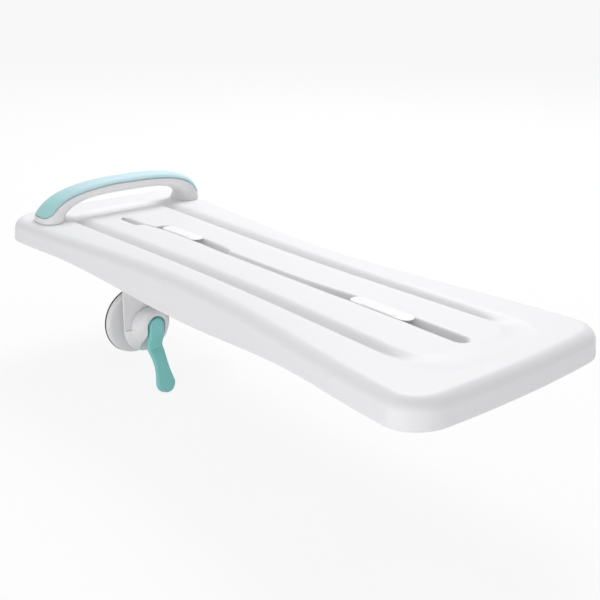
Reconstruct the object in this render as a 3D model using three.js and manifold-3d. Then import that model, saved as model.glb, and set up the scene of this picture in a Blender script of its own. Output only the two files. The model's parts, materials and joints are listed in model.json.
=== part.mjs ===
// A bath board: a waisted seat that lies across a bath, with a grab handle at one end.
// It is held on the bath by two brackets that slide in the slots of the seat. On the left
// bracket a cam lever presses two linked round pads against the wall of the bath.
//
// Units are millimetres. X runs along the board and the handle is at its -X end. Y runs
// across it and -Y is the long side nearest the viewer. Z is up and z = 0 is the plane of
// the bath rims on which the rubber pads rest.

import * as THREE from 'three';
import { mergeVertices } from 'three/addons/utils/BufferGeometryUtils.js';
import Module from 'manifold-3d';

const wasm = await Module();
wasm.setup();

// Board, overall
const board_length = 740;
const end_width = 278;
const waist_width = 216;
const waist_x = 15;
const deck_height = 29.4;
const skirt_lift = 2;
const skirt_dip = 19;
const skirt_dip_inset = 117;
const skirt_draft_share = 0.1;
const deck_edge_radius = 13.7;
const corner_left = 52;
const corner_right = 39;
const bow_left = 5.4;
const bow_right = 6.9;
const wall = 3.2;

// Ring groove round the seat
const groove_width = 26;
const groove_depth = 8;
const groove_depth_left = 5.6;
const groove_depth_right = 2.5;
const groove_fade_left = 30;
const groove_fade_right = 56;
const groove_fade_rest = 8;
const groove_inset_end = 69;
const groove_inset_waist = 46;
const groove_inset_left = 70;
const groove_inset_right = 44;
const groove_corner_left = 20;
const groove_corner_right = 36;
const trough_margin = 5;

// Guide channel in the middle of the seat, with a slot through its floor at each side
const channel_width = 21;
const channel_depth = 4.5;
const channel_margin_left = 5;
const channel_margin_right = 6;
const channel_floor = 3;
const channel_lip = 1.5;
const slot_width = 16;
const left_slot_inset = 167;
const left_slot_length = 161;
const right_slot_inset = 68;
const right_slot_length = 208;
const slot_corner = 7;
const pocket_length = 42;
const pocket_width = 16;
const pocket_offset = [23, 17];

// Ribs under the deck
const rib_thickness = 2.4;
const rib_bottom = 10;
const rib_beside_slot_y = 18;
const rib_outer_y = 88;
const cross_rib_shares = [-0.96, -0.725, -0.055, 0.08, 0.21, 0.89];
const rib_root = 1;

// Rubber pads that rest on the rims of the bath
const rest_pad_length = 100;
const rest_pad_width = 24;
const rest_pad_height = 6;
const rest_pad_corner = 8;
const rest_pad_inset = 80;
const rest_pad_y = 60;
const rest_stud_radius = 4;
const rest_stud_height = 5;
const rest_stud_pitch = 60;

// Handle
const handle_inset = 72;
const handle_side_shift = 3;
const handle_side_gap = 19.5;
const handle_foot_depth = 27.5;
const handle_top = 47;
const handle_under = 26.5;
const handle_power_share = 0.8;
const handle_width_top = 30;
const handle_width_foot = 41;
const section_power_share = 0.78;
const grip_thickness = 8.8;
const grip_seam = 1;
const grip_end_height = 7.5;
const grip_end_width = 36;
const grip_end_radius = 10;
const handle_screw_offset = 10;
const handle_screw_inset = 16;

// Screws
const screw_shank_radius = 2.2;
const screw_head_radius = 4.2;
const screw_head_height = 2.6;
const screw_bite = 12;
const screw_land = 5;

// Sliders
const cap_width = 20;
const cap_proud = 0.8;
const cap_edge = 1.2;
const left_cap_length = 78;
const right_cap_length = 92;
const left_slider_setting = 58.5;
const right_slider_setting = 104;
const stem_width = 15;
const stem_corner = 3;
const left_stem_length = 56;
const right_stem_length = 70;
const cap_screw_pitch = 34;

// Left bracket: a cross bar under the slot, with the lever housing and a guide housing
const clamp_y = 58.5;
const bar_width = 46;
const bar_top = 8.5;
const bar_bottom = -12;
const bar_wall = 3.5;
const bar_corner = 6;
const housing_radius = 32.5;
const housing_z = -78;
const plate_x = [0.5, 4.5];
const boss_radius = 24.5;
const boss_front = 26.5;
const boss_front_radius = 16;
const boss_edge_share = 0.45;
const rear_boss_radius = 14.5;
const rear_boss_back = -8;
const guide_front = 11;
const guide_radius = 16;

// Cam lever on its pin
const pin_x = 19;
const pin_z = -72;
const pin_radius = 2.5;
const pin_length = 33;
const cam_reach = 14.6;
const cam_lift = 4;
const recess_radius = 12.3;
const lever_width = 20.8;
const lever_front = 5;
const lever_thickness = 6.5;
const elbow = [2, -27];
const lever_tip = [29.5, -80.5];
const paddle_radius = 12.5;

// Pad carriers, their rubber faces and link, the return springs and their clips
const carrier_radius = 41.3;
const carrier_z = -77.5;
const carrier_back = -23.5;
const carrier_lip = 4;
const hub_radius = 15;
const hub_front = -16.5;
const plunger_radius = 6;
const plunger_z = -75;
const link_thickness = 3.4;
const link_width = 10;
const link_eye_radius = 10;
const rubber_thickness = 4;
const rubber_overhang = 1.4;
const rubber_lip = 2;
const clip_radius = 9.8;
const clip_thickness = 1.6;
const spring_wire_radius = 0.5;
const spring_radius = 8.4;
const spring_turns = 4;
const spring_space = 8.4;

// Right bracket: a short bar and one leg with a rubber buffer
const stop_bar_width = 60;
const stop_bar_length = 66;
const stop_bar_bottom = -6;
const stop_leg_x = [14, 23];
const stop_radius = 28;
const stop_z = -46;
const stop_edge = 3;
const buffer_thickness = 5;
const buffer_inset = 1.5;
const buffer_edge = 1.5;
const buffer_stud_radius = 8;
const buffer_stud_height = 2.5;

// Clearances and cuts
const fit = 0.3;
const running_fit = 0.4;
const overrun = 5;

// Colours
const white = 0xf1f1f2;
const pale_blue = 0xc3e4ea;
const teal = 0x7dbdb8;
const near_black = 0x161719;
const steel_grey = 0xb6babd;

const half_length = board_length / 2;
const deck_under = deck_height - wall;
const skirt_dip_reach = half_length - skirt_dip_inset;

const groove_left_x = groove_inset_left - half_length;
const groove_right_x = half_length - groove_inset_right;
const groove_half_gap_end = end_width / 2 - groove_inset_end;
const groove_half_gap_waist = waist_width / 2 - groove_inset_waist;

const left_slot_start = left_slot_inset - half_length;
const left_slot_x = [left_slot_start, left_slot_start + left_slot_length];
const right_slot_end = half_length - right_slot_inset;
const right_slot_x = [right_slot_end - right_slot_length, right_slot_end];
const channel_x = [left_slot_start - channel_margin_left, right_slot_end + channel_margin_right];
const pocket_place = [channel_x[0] - pocket_offset[0], -pocket_offset[1]];
const left_slider_x = left_slot_start + left_slider_setting;
const right_slider_x = right_slot_end - right_slider_setting;

const handle_place = [handle_inset - half_length, handle_side_shift];
const handle_outer_reach = end_width / 2 - handle_side_gap;
const handle_inner_reach = handle_outer_reach - handle_foot_depth;

// How far the waist is drawn in at x: 1 at the waist and 0 at both ends of the board.
function waist(x) {
  const reach = x < waist_x ? half_length + waist_x : half_length - waist_x;
  const share = Math.min(Math.abs(x - waist_x) / reach, 1);
  return (1 + Math.cos(Math.PI * share)) / 2;
}

function boardHalfWidth(x) {
  return (end_width - (end_width - waist_width) * waist(x)) / 2;
}

function grooveHalfGap(x) {
  return groove_half_gap_end - (groove_half_gap_end - groove_half_gap_waist) * waist(x);
}

// The lower edge of the skirt dips between the walls of the bath.
function skirtBottom(x) {
  const share = Math.min(Math.abs(x) / skirt_dip_reach, 1);
  return skirt_lift - skirt_dip * (1 + Math.cos(Math.PI * share)) / 2;
}

// A closed plan outline, counter-clockwise: two long sides from a half-width formula, two
// bowed ends, and a round corner where each pair meets.
function planOutline({ ends, halfWidth, bows, radii, steps }) {
  const spread = (from, to, count, point) => {
    const at = (_, i) => point(from + (to - from) * i / count);
    return Array.from({ length: count + 1 }, at);
  };
  const longSide = (side) => (x) => new THREE.Vector2(x, side * halfWidth(x));
  const shortSide = (k) => (y) => {
    const outward = Math.sign(ends[k]);
    const share = y / halfWidth(ends[k]);
    return new THREE.Vector2(ends[k] - outward * bows[k] * share * share, y);
  };
  const from = ends[0] + radii[0];
  const to = ends[1] - radii[1];
  const top = ends.map((x, k) => halfWidth(x) - radii[k]);
  const runs = [
    spread(from, to, steps.side, longSide(-1)),
    spread(-top[1], top[1], steps.end, shortSide(1)),
    spread(to, from, steps.side, longSide(1)),
    spread(top[0], -top[0], steps.end, shortSide(0)),
  ];
  return runs.flatMap((run, i) => {
    const next = runs[(i + 1) % runs.length];
    return [...run, ...roundCorner(run, next, steps.corner)];
  });
}

// Points of a round corner between the end of one run and the start of the next.
function roundCorner(run, next, count) {
  const a = run.at(-1);
  const b = next[0];
  const alongA = a.clone().sub(run.at(-2));
  const alongB = next[1].clone().sub(b);
  const reach = b.clone().sub(a).cross(alongB) / alongA.cross(alongB);
  const corner = a.clone().addScaledVector(alongA, reach);
  const points = [];
  for (let i = 1; i < count; i += 1) {
    const turn = Math.PI / 2 * i / count;
    const p = corner.clone();
    p.addScaledVector(a.clone().sub(corner), 1 - Math.sin(turn));
    p.addScaledVector(b.clone().sub(corner), 1 - Math.cos(turn));
    points.push(p);
  }
  return points;
}

// The outward direction at each point of a counter-clockwise outline.
function outwardDirections(outline) {
  const count = outline.length;
  return outline.map((_, i) => {
    const along = outline[(i + 1) % count].clone().sub(outline[(i + count - 1) % count]);
    return new THREE.Vector2(along.y, -along.x).normalize();
  });
}

// A closed solid through rings that have equal numbers of points. In a loop the last ring
// joins the first. Otherwise the first and the last ring are closed by flat faces.
function loft(rings, loop = false) {
  const size = rings[0].length;
  const index = [];
  const bands = loop ? rings.length : rings.length - 1;
  for (let r = 0; r < bands; r += 1) {
    const a = r * size;
    const b = ((r + 1) % rings.length) * size;
    for (let i = 0; i < size; i += 1) {
      const j = (i + 1) % size;
      index.push(a + i, a + j, b + j, a + i, b + j, b + i);
    }
  }
  if (!loop) {
    const last = (rings.length - 1) * size;
    for (const [a, b, c] of flatFace(rings[0])) index.push(a, c, b);
    for (const [a, b, c] of flatFace(rings.at(-1))) index.push(last + a, last + b, last + c);
  }
  const geometry = new THREE.BufferGeometry().setFromPoints(rings.flat());
  geometry.setIndex(index);
  return facingOut(geometry);
}

// Triangles over a flat ring, wound the same way as the ring.
function flatFace(ring) {
  const normal = new THREE.Vector3();
  ring.forEach((p, i) => normal.add(p.clone().cross(ring[(i + 1) % ring.length])));
  const level = new THREE.Quaternion();
  level.setFromUnitVectors(normal.normalize(), new THREE.Vector3(0, 0, 1));
  const flat = ring.map((p) => {
    const q = p.clone().applyQuaternion(level);
    return new THREE.Vector2(q.x, q.y);
  });
  return THREE.ShapeUtils.triangulateShape(flat, []);
}

// Turns the triangles of a closed geometry round if its volume counts as negative.
function facingOut(geometry) {
  const place = geometry.getAttribute('position');
  const index = Array.from(geometry.getIndex().array);
  const corner = (i) => new THREE.Vector3().fromBufferAttribute(place, index[i]);
  let volume = 0;
  for (let i = 0; i < index.length; i += 3) {
    volume += corner(i).dot(corner(i + 1).cross(corner(i + 2)));
  }
  if (volume < 0) geometry.setIndex(index.reverse());
  return geometry;
}

function solid(geometry) {
  const plain = geometry.clone();
  plain.deleteAttribute('normal');
  plain.deleteAttribute('uv');
  const merged = mergeVertices(plain);
  return new wasm.Manifold(new wasm.Mesh({
    numProp: 3,
    vertProperties: new Float32Array(merged.getAttribute('position').array),
    triVerts: new Uint32Array(merged.getIndex().array),
  }));
}

function geometryOf(body) {
  const mesh = body.getMesh();
  const geometry = new THREE.BufferGeometry();
  geometry.setAttribute('position', new THREE.BufferAttribute(mesh.vertProperties, 3));
  geometry.setIndex(new THREE.BufferAttribute(mesh.triVerts, 1));
  geometry.computeVertexNormals();
  return geometry;
}

function joined(bodies) {
  return bodies.reduce((sum, body) => sum.add(body));
}

function box(x0, x1, y0, y1, z0, z1) {
  const geometry = new THREE.BoxGeometry(x1 - x0, y1 - y0, z1 - z0);
  geometry.translate((x0 + x1) / 2, (y0 + y1) / 2, (z0 + z1) / 2);
  return solid(geometry);
}

// A plan shape raised from z0 to z1, with its edges rounded where edge is given.
function raised(shape, z0, z1, edge = 0, segments = 4) {
  return new THREE.ExtrudeGeometry(shape, {
    depth: z1 - z0 - 2 * edge,
    bevelEnabled: edge > 0,
    bevelThickness: edge,
    bevelSize: edge,
    bevelOffset: -edge,
    bevelSegments: 2,
    curveSegments: segments,
  }).translate(0, 0, z0 + edge);
}

// A shape drawn in Y and Z, made solid from x0 to x1.
function alongX(shape, x0, x1, edge = 0, segments = 4) {
  return raised(shape, x0, x1, edge, segments).rotateY(Math.PI / 2).rotateX(Math.PI / 2);
}

// A shape drawn in X and Z, made solid over a width centred on y = 0.
function alongY(shape, width) {
  return raised(shape, -width / 2, width / 2).rotateX(Math.PI / 2);
}

function roundedBox(length, width, corner) {
  const x = length / 2 - corner;
  const y = width / 2 - corner;
  const shape = new THREE.Shape();
  shape.absarc(x, -y, corner, -Math.PI / 2, 0);
  shape.absarc(x, y, corner, 0, Math.PI / 2);
  shape.absarc(-x, y, corner, Math.PI / 2, Math.PI);
  shape.absarc(-x, -y, corner, Math.PI, Math.PI * 3 / 2);
  return shape;
}

// A round bar along X.
function rod(radius, x0, x1, z, segments = 20) {
  const geometry = new THREE.CylinderGeometry(radius, radius, x1 - x0, segments);
  return solid(geometry.rotateZ(Math.PI / 2)).translate([(x0 + x1) / 2, 0, z]);
}

// An upright round bar.
function post(radius, x, y, z0, z1) {
  const geometry = new THREE.CylinderGeometry(radius, radius, z1 - z0, 12);
  return solid(geometry.rotateX(Math.PI / 2)).translate([x, y, (z0 + z1) / 2]);
}

// A body turned round the X axis at height z, from pairs of radius and place along X.
function turned(pairs, z, segments = 32) {
  const profile = pairs.map(([radius, x]) => new THREE.Vector2(radius, x));
  const geometry = new THREE.LatheGeometry(profile, segments);
  return solid(geometry.rotateZ(-Math.PI / 2)).translate([0, 0, z]);
}

// The board
const boardPlan = planOutline({
  ends: [-half_length, half_length],
  halfWidth: boardHalfWidth,
  bows: [bow_left, bow_right],
  radii: [corner_left, corner_right],
  steps: { side: 18, end: 4, corner: 5 },
});
const boardOutward = outwardDirections(boardPlan);
const shoulder_inset = (deck_height - deck_edge_radius - skirt_lift) * skirt_draft_share;

function boardRing(inset, heightAt) {
  return boardPlan.map((p, i) => {
    const q = p.clone().addScaledVector(boardOutward[i], -inset);
    return new THREE.Vector3(q.x, q.y, heightAt(p.x));
  });
}

// Rings of a rounded edge, from the flat of the deck out to the shoulder of the skirt.
function edgeRings(radius, inset, top, count) {
  const rings = [];
  for (let i = 0; i <= count; i += 1) {
    const turn = Math.PI / 2 * i / count;
    const z = top - radius * (1 - Math.cos(turn));
    rings.push(boardRing(inset + radius * (1 - Math.sin(turn)), () => z));
  }
  return rings;
}

function shellSolid() {
  const inner = edgeRings(deck_edge_radius - wall, shoulder_inset + wall, deck_under, 2);
  return solid(loft([
    ...edgeRings(deck_edge_radius, shoulder_inset, deck_height, 5),
    boardRing(0, skirtBottom),
    boardRing(wall, skirtBottom),
    ...inner.reverse(),
  ]));
}

// What lies inside the skirt and under the rounded edge, to trim the ribs.
function insideOfSkirt() {
  const radius = deck_edge_radius - wall / 2;
  const inset = shoulder_inset + wall / 2;
  const rings = edgeRings(radius, inset, deck_height - wall / 2, 2);
  rings.push(boardRing(inset, () => skirt_lift));
  return solid(loft(rings));
}

// The groove is deepest along the sides and gets shallower towards both ends.
function grooveDepth(x) {
  const fade = (rest, length) => THREE.MathUtils.smoothstep(length + groove_fade_rest - rest, 0, length);
  const left = fade(x - groove_left_x, groove_fade_left);
  const right = fade(groove_right_x - x, groove_fade_right);
  const shallower = (groove_depth - groove_depth_left) * left;
  return groove_depth - shallower - (groove_depth - groove_depth_right) * right;
}

// A bell-shaped section swept round the seat. It hangs below the height given as brim and
// is closed above at the height given as lid.
function grooveSweep(width, brim, lid, count) {
  const plan = planOutline({
    ends: [groove_left_x, groove_right_x],
    halfWidth: grooveHalfGap,
    bows: [bow_left, bow_right],
    radii: [groove_corner_left, groove_corner_right],
    steps: { side: 14, end: 3, corner: 4 },
  });
  const outward = outwardDirections(plan);
  const rings = plan.map((p, i) => {
    const across = (k) => p.clone().addScaledVector(outward[i], (k / count - 1 / 2) * width);
    const ring = [];
    for (let k = 0; k <= count; k += 1) {
      const q = across(k);
      const bell = (1 - Math.cos(2 * Math.PI * k / count)) / 2;
      ring.push(new THREE.Vector3(q.x, q.y, brim - grooveDepth(p.x) * bell));
    }
    const brink = [across(count), across(0)];
    return ring.concat(brink.map((q) => new THREE.Vector3(q.x, q.y, lid)));
  });
  return solid(loft(rings, true));
}

// A long hole or block with round ends between two places along X.
function longRound([x0, x1], width, corner, z0, z1) {
  const shape = roundedBox(x1 - x0, width, corner);
  return solid(raised(shape, z0, z1)).translate([(x0 + x1) / 2, 0, 0]);
}

// The guide channel: upright sides and a sloping lip at the deck.
function channelCut() {
  const [x0, x1] = channel_x;
  const ring = (spread, z) => {
    const width = channel_width + spread;
    const shape = roundedBox(x1 - x0 + spread, width, width / 2 - fit);
    const points = shape.getPoints(4).slice(0, -1);
    return points.map((p) => new THREE.Vector3(p.x + (x0 + x1) / 2, p.y, z));
  };
  return solid(loft([
    ring(0, deck_height - channel_depth),
    ring(0, deck_height - channel_lip),
    ring(2 * channel_lip, deck_height),
    ring(2 * channel_lip, deck_height + overrun),
  ]));
}

function pocket(margin, z0, z1) {
  const width = pocket_width + 2 * margin;
  const shape = roundedBox(pocket_length + 2 * margin, width, width / 2 - fit);
  return solid(raised(shape, z0, z1)).translate([...pocket_place, 0]);
}

const handleScrewPlaces = [-1, 1].flatMap((side) => [-1, 1].map((end) => [
  end * handle_screw_offset,
  side * (handle_outer_reach - handle_screw_inset),
]));
const onBoard = ([x, y]) => [x + handle_place[0], y + handle_place[1]];
const rest_pad_x = half_length - rest_pad_inset;
const restPadPlaces = [-rest_pad_x, rest_pad_x].flatMap((x) => [[x, -rest_pad_y], [x, rest_pad_y]]);
const restStudPlaces = [-1, 1].map((end) => end * rest_stud_pitch / 2);
const handle_screw_seat = deck_height - screw_land;

function underdeck() {
  const root = deck_under + rib_root;
  const half = rib_thickness / 2;
  const bodies = [];
  for (const y of [-rib_outer_y, -rib_beside_slot_y, rib_beside_slot_y, rib_outer_y]) {
    bodies.push(box(-half_length, half_length, y - half, y + half, rib_bottom, root));
  }
  for (const x of cross_rib_shares.map((share) => share * half_length)) {
    bodies.push(box(x - half, x + half, -end_width, end_width, rib_bottom, root));
  }
  for (const [x, y] of handleScrewPlaces.map(onBoard)) {
    bodies.push(post(screw_head_radius + wall, x, y, rib_bottom, root));
  }
  for (const [x, y] of restPadPlaces) {
    const shape = roundedBox(rest_pad_length, rest_pad_width, rest_pad_corner);
    bodies.push(solid(raised(shape, rest_pad_height, root)).translate([x, y, 0]));
  }
  return joined(bodies).intersect(insideOfSkirt());
}

function boardSolid() {
  const root = deck_under + rib_root;
  const channel_bottom = deck_height - channel_depth - channel_floor;
  const over = deck_height + overrun;
  const [x0, x1] = channel_x;
  let body = shellSolid().add(underdeck());
  body = body.add(grooveSweep(groove_width + 2 * trough_margin, deck_under, root, 3));
  const width = channel_width + 2 * wall;
  const trough = longRound([x0 - wall, x1 + wall], width, width / 2 - fit, channel_bottom, root);
  body = body.add(trough);
  body = body.add(pocket(wall, channel_bottom, root));
  body = body.subtract(grooveSweep(groove_width, deck_height, over, 6));
  body = body.subtract(channelCut());
  body = body.subtract(pocket(0, -overrun, over));
  for (const slot of [left_slot_x, right_slot_x]) {
    body = body.subtract(longRound(slot, slot_width, slot_corner, -overrun, over));
  }
  for (const [x, y] of handleScrewPlaces.map(onBoard)) {
    body = body.subtract(post(screw_shank_radius + fit, x, y, -overrun, over));
    body = body.subtract(post(screw_head_radius + fit, x, y, -overrun, handle_screw_seat));
  }
  for (const [x, y] of restPadPlaces) {
    for (const along of restStudPlaces) {
      const top = rest_pad_height + rest_stud_height + fit;
      body = body.subtract(post(rest_stud_radius + fit, x + along, y, -overrun, top));
    }
  }
  return body;
}

function restPadSolid() {
  const top = rest_pad_height - fit;
  const shape = roundedBox(rest_pad_length, rest_pad_width, rest_pad_corner);
  let body = solid(raised(shape, 0, top, 0, 3));
  for (const along of restStudPlaces) {
    body = body.add(post(rest_stud_radius, along, 0, top / 2, top + rest_stud_height));
  }
  return body;
}

// The handle: an arch of superellipse form with a rounded section that widens at its feet.
function rounded(value, powerShare) {
  return Math.sign(value) * Math.abs(value) ** powerShare;
}

function archPoint(reach, height, turn) {
  return new THREE.Vector2(
    -reach * rounded(Math.cos(turn), handle_power_share),
    height * rounded(Math.sin(turn), handle_power_share),
  );
}

function archSpan(turn) {
  const outer = archPoint(handle_outer_reach, handle_top, turn);
  const inner = archPoint(handle_inner_reach, handle_under, turn);
  return { outer, inner };
}

function archSolid() {
  const rings = [];
  const count = 32;
  const corners = 16;
  for (let i = 0; i <= count; i += 1) {
    const turn = Math.PI * i / count;
    const { outer, inner } = archSpan(turn);
    const middle = outer.clone().add(inner).divideScalar(2);
    const half_depth = outer.clone().sub(inner).divideScalar(2);
    const foot = Math.abs(Math.cos(turn)) ** 3;
    const width = THREE.MathUtils.lerp(handle_width_top, handle_width_foot, foot);
    const ring = [];
    for (let k = 0; k < corners; k += 1) {
      const angle = 2 * Math.PI * k / corners;
      const across = width / 2 * rounded(Math.cos(angle), section_power_share);
      const q = middle.clone();
      q.addScaledVector(half_depth, rounded(Math.sin(angle), section_power_share));
      ring.push(new THREE.Vector3(across, q.x, q.y));
    }
    rings.push(ring);
  }
  return solid(loft(rings));
}

// Half the width of the grip at a distance from its end, which has round corners.
function gripHalfWidth(along) {
  const rest = Math.max(grip_end_radius - along, 0);
  const corner = Math.sqrt(grip_end_radius ** 2 - rest ** 2);
  const beyond = Math.max(along - grip_end_radius, 0);
  return grip_end_width / 2 - grip_end_radius + corner + Math.min(beyond, handle_width_foot);
}

// The part of the arch that the coloured grip takes: a layer of even thickness under its
// crest, which ends above each foot.
function gripLayer(grow) {
  const count = 32;
  const lift_share = grip_end_height / handle_top;
  const start = Math.asin(lift_share ** (1 / handle_power_share));
  const spans = [];
  for (let i = 0; i <= count; i += 1) {
    const share = (1 - Math.cos(Math.PI * i / count)) / 2;
    spans.push(archSpan(THREE.MathUtils.lerp(start, Math.PI - start, share)));
  }
  const travelled = [0];
  for (let i = 1; i <= count; i += 1) {
    travelled.push(travelled[i - 1] + spans[i].outer.distanceTo(spans[i - 1].outer));
  }
  const rings = spans.map(({ outer, inner }, i) => {
    const out = outer.clone().sub(inner).normalize();
    const floor = outer.clone().addScaledVector(out, -grip_thickness - grow);
    const roof = outer.clone().addScaledVector(out, overrun);
    const along = Math.min(travelled[i], travelled[count] - travelled[i]) + grow;
    const half = gripHalfWidth(along) + grow;
    return [[-half, floor], [half, floor], [half, roof], [-half, roof]].map(
      ([x, p]) => new THREE.Vector3(x, p.x, p.y),
    );
  });
  return solid(loft(rings));
}

function handleBaseSolid() {
  let body = archSolid().subtract(gripLayer(grip_seam));
  for (const [x, y] of handleScrewPlaces) {
    const hole = screw_shank_radius + fit / 2;
    body = body.subtract(post(hole, x, y, -overrun, screw_bite + fit));
  }
  return body;
}

function screwSolid(length) {
  const chamfer = screw_head_height / 4;
  const profile = [
    [0, -screw_head_height],
    [screw_head_radius - chamfer, -screw_head_height],
    [screw_head_radius, chamfer - screw_head_height],
    [screw_head_radius, 0],
    [screw_shank_radius, 0],
    [screw_shank_radius, length - screw_shank_radius],
    [0, length],
  ].map(([radius, z]) => new THREE.Vector2(radius, z));
  return solid(new THREE.LatheGeometry(profile, 12).rotateX(Math.PI / 2));
}

// A slider cap: a lozenge that rides in the channel, with a stem down through the slot.
const stem_bottom = bar_top + fit;
const cap_bottom = deck_height - channel_depth + fit;
const capScrewPlaces = [-cap_screw_pitch / 2, cap_screw_pitch / 2];
const cap_screw_seat = bar_top - screw_land;

function capSolid(length, stemLength) {
  const plate = roundedBox(length, cap_width, cap_width / 2 - fit);
  const stem = roundedBox(stemLength, stem_width, stem_corner);
  let body = solid(raised(plate, cap_bottom, deck_height + cap_proud, cap_edge, 5));
  body = body.add(solid(raised(stem, stem_bottom, cap_bottom + cap_edge, 0, 3)));
  for (const x of capScrewPlaces) {
    const hole = screw_shank_radius + fit / 2;
    body = body.subtract(post(hole, x, 0, stem_bottom - overrun, stem_bottom + screw_bite));
  }
  return body;
}

// Holes in a bar for the screws that draw it up to the stem of its cap.
function drilled(body, bottom) {
  let result = body;
  for (const x of capScrewPlaces) {
    result = result.subtract(post(screw_shank_radius + fit, x, 0, bottom - overrun, bar_top + overrun));
    result = result.subtract(post(screw_head_radius + fit, x, 0, bottom - overrun, cap_screw_seat));
  }
  return result;
}

// A flat shape in Y and Z that hangs from a height and ends in a half circle.
function tombstone(radius, centre, top) {
  const shape = new THREE.Shape();
  shape.moveTo(radius, top);
  shape.lineTo(-radius, top);
  shape.absarc(0, centre, radius, Math.PI, 2 * Math.PI);
  return shape;
}

// A boss turned round X. It narrows towards its front and the edge there is rounded.
function boss(radius, x0, x1) {
  const pairs = [[0, x0], [radius, x0]];
  const count = 4;
  const straight = THREE.MathUtils.lerp(x1, x0, boss_edge_share);
  const shoulder_radius = (radius + boss_front_radius) / 2;
  for (let i = 0; i <= count; i += 1) {
    const turn = Math.PI / 2 * i / count;
    pairs.push([
      THREE.MathUtils.lerp(boss_front_radius, shoulder_radius, Math.cos(turn)),
      THREE.MathUtils.lerp(straight, x1, Math.sin(turn)),
    ]);
  }
  pairs.push([0, x1]);
  return turned(pairs, housing_z, 28);
}

function housingPlate() {
  const [back, front] = plate_x;
  const plate = tombstone(housing_radius, housing_z, bar_bottom + bar_wall);
  const rear = rod(rear_boss_radius, rear_boss_back, back + fit, plunger_z);
  return solid(alongX(plate, back, front, 0, 14)).add(rear);
}

// The near housing, with the boss and chin that hold the lever.
function leverHousing() {
  const back = plate_x[0] + fit;
  const far = housing_radius + overrun;
  const low = housing_z - far;
  const chin = boss(housing_radius, back, boss_front);
  let body = housingPlate().add(boss(boss_radius, back, boss_front));
  body = body.add(chin.intersect(box(back, boss_front + overrun, -far, far, low, housing_z)));
  const hole = pin_radius + fit / 2;
  const bore = new THREE.CylinderGeometry(hole, hole, pin_length + 2 * fit, 20);
  body = body.subtract(solid(bore).translate([pin_x, 0, pin_z]));
  return body.subtract(leverRoom()).subtract(plungerRoom());
}

// The far housing, which only guides the other plunger.
function guideHousing() {
  const sleeve = rod(guide_radius, plate_x[0] + fit, guide_front, plunger_z);
  const well = rod(clip_radius + running_fit, follower_x - fit, guide_front + overrun, plunger_z);
  return housingPlate().add(sleeve).subtract(well).subtract(plungerRoom());
}

// The recess in which the lever turns, with a round head and open below.
function leverRoom() {
  const floor = pin_x - cam_reach - running_fit;
  const depth = housing_radius - housing_z + overrun;
  const shape = tombstone(recess_radius, -pin_z, depth);
  return solid(alongX(shape, floor, boss_front + overrun, 0, 10)).mirror([0, 0, 1]);
}

// The bore for the plunger, with a wider well for its spring and clip.
const follower_x = pin_x - cam_reach;
const spring_floor = follower_x - clip_thickness - spring_space;

function plungerRoom() {
  const well = rod(clip_radius + running_fit, spring_floor, follower_x, plunger_z);
  return well.add(rod(plunger_radius + running_fit, rear_boss_back - overrun, follower_x, plunger_z));
}

function leftBracketSolid() {
  const reach = clamp_y + housing_radius;
  const outerShape = roundedBox(bar_width, 2 * reach, bar_corner);
  const inner_width = bar_width - 2 * bar_wall;
  const innerShape = roundedBox(inner_width, 2 * (reach - bar_wall), bar_corner - bar_wall / 2);
  let body = solid(raised(outerShape, bar_bottom, bar_top, 0, 4));
  body = body.subtract(solid(raised(innerShape, bar_bottom - overrun, bar_top - bar_wall, 0, 4)));
  for (const x of capScrewPlaces) {
    const radius = screw_head_radius + bar_wall;
    body = body.add(post(radius, x, 0, bar_bottom + bar_wall, bar_top - bar_wall / 2));
  }
  body = body.add(leverHousing().translate([0, -clamp_y, 0]));
  body = body.add(guideHousing().translate([0, clamp_y, 0]));
  return drilled(body, bar_bottom);
}

// The lever, with its pin as origin. Its cam is the curve on which a flat follower
// moves evenly as the lever turns: the distance of the follower grows with the angle.
function leverSolid() {
  const back = lever_front - lever_thickness;
  const side = new THREE.Shape();
  side.moveTo(lever_front, 0);
  side.lineTo(lever_front, lever_width);
  const count = 12;
  const rise = cam_lift / (Math.PI / 2);
  for (let i = 0; i <= count; i += 1) {
    const turn = Math.PI / 2 * (1 + i / count);
    const reach = cam_reach - running_fit / 2 - cam_lift * (1 - i / count);
    side.lineTo(
      reach * Math.cos(turn) - rise * Math.sin(turn),
      reach * Math.sin(turn) + rise * Math.cos(turn),
    );
  }
  side.lineTo(-cam_reach / 2, -cam_reach);
  side.lineTo(elbow[0] - lever_thickness, elbow[1]);
  side.lineTo(lever_tip[0] - lever_thickness, lever_tip[1]);
  side.lineTo(lever_tip[0], lever_tip[1]);
  side.lineTo(elbow[0], elbow[1]);
  const profile = solid(alongY(side, 3 * paddle_radius));
  const reach = lever_tip[0] + cam_reach + overrun;
  const face = solid(alongX(leverFace(), -reach, reach, 0, 14));
  const hole = pin_radius + fit / 2;
  const bore = new THREE.CylinderGeometry(hole, hole, 3 * paddle_radius, 20);
  return profile.intersect(face).subtract(solid(bore));
}

// The lever's outline in Y and Z: a round head, a straight bar and a round paddle.
function leverFace() {
  const half = lever_width / 2;
  const run = Math.hypot(lever_tip[0] - elbow[0], lever_tip[1] - elbow[1]);
  const upright_radius = paddle_radius * (elbow[1] - lever_tip[1]) / run;
  const paddle_z = lever_tip[1] + upright_radius;
  const meet = Math.asin(half / paddle_radius);
  const shape = new THREE.Shape();
  shape.absarc(0, 0, half, 0, Math.PI);
  const [from, to] = [Math.PI / 2 + meet, Math.PI * 5 / 2 - meet];
  shape.absellipse(0, paddle_z, paddle_radius, upright_radius, from, to);
  return shape;
}

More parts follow.
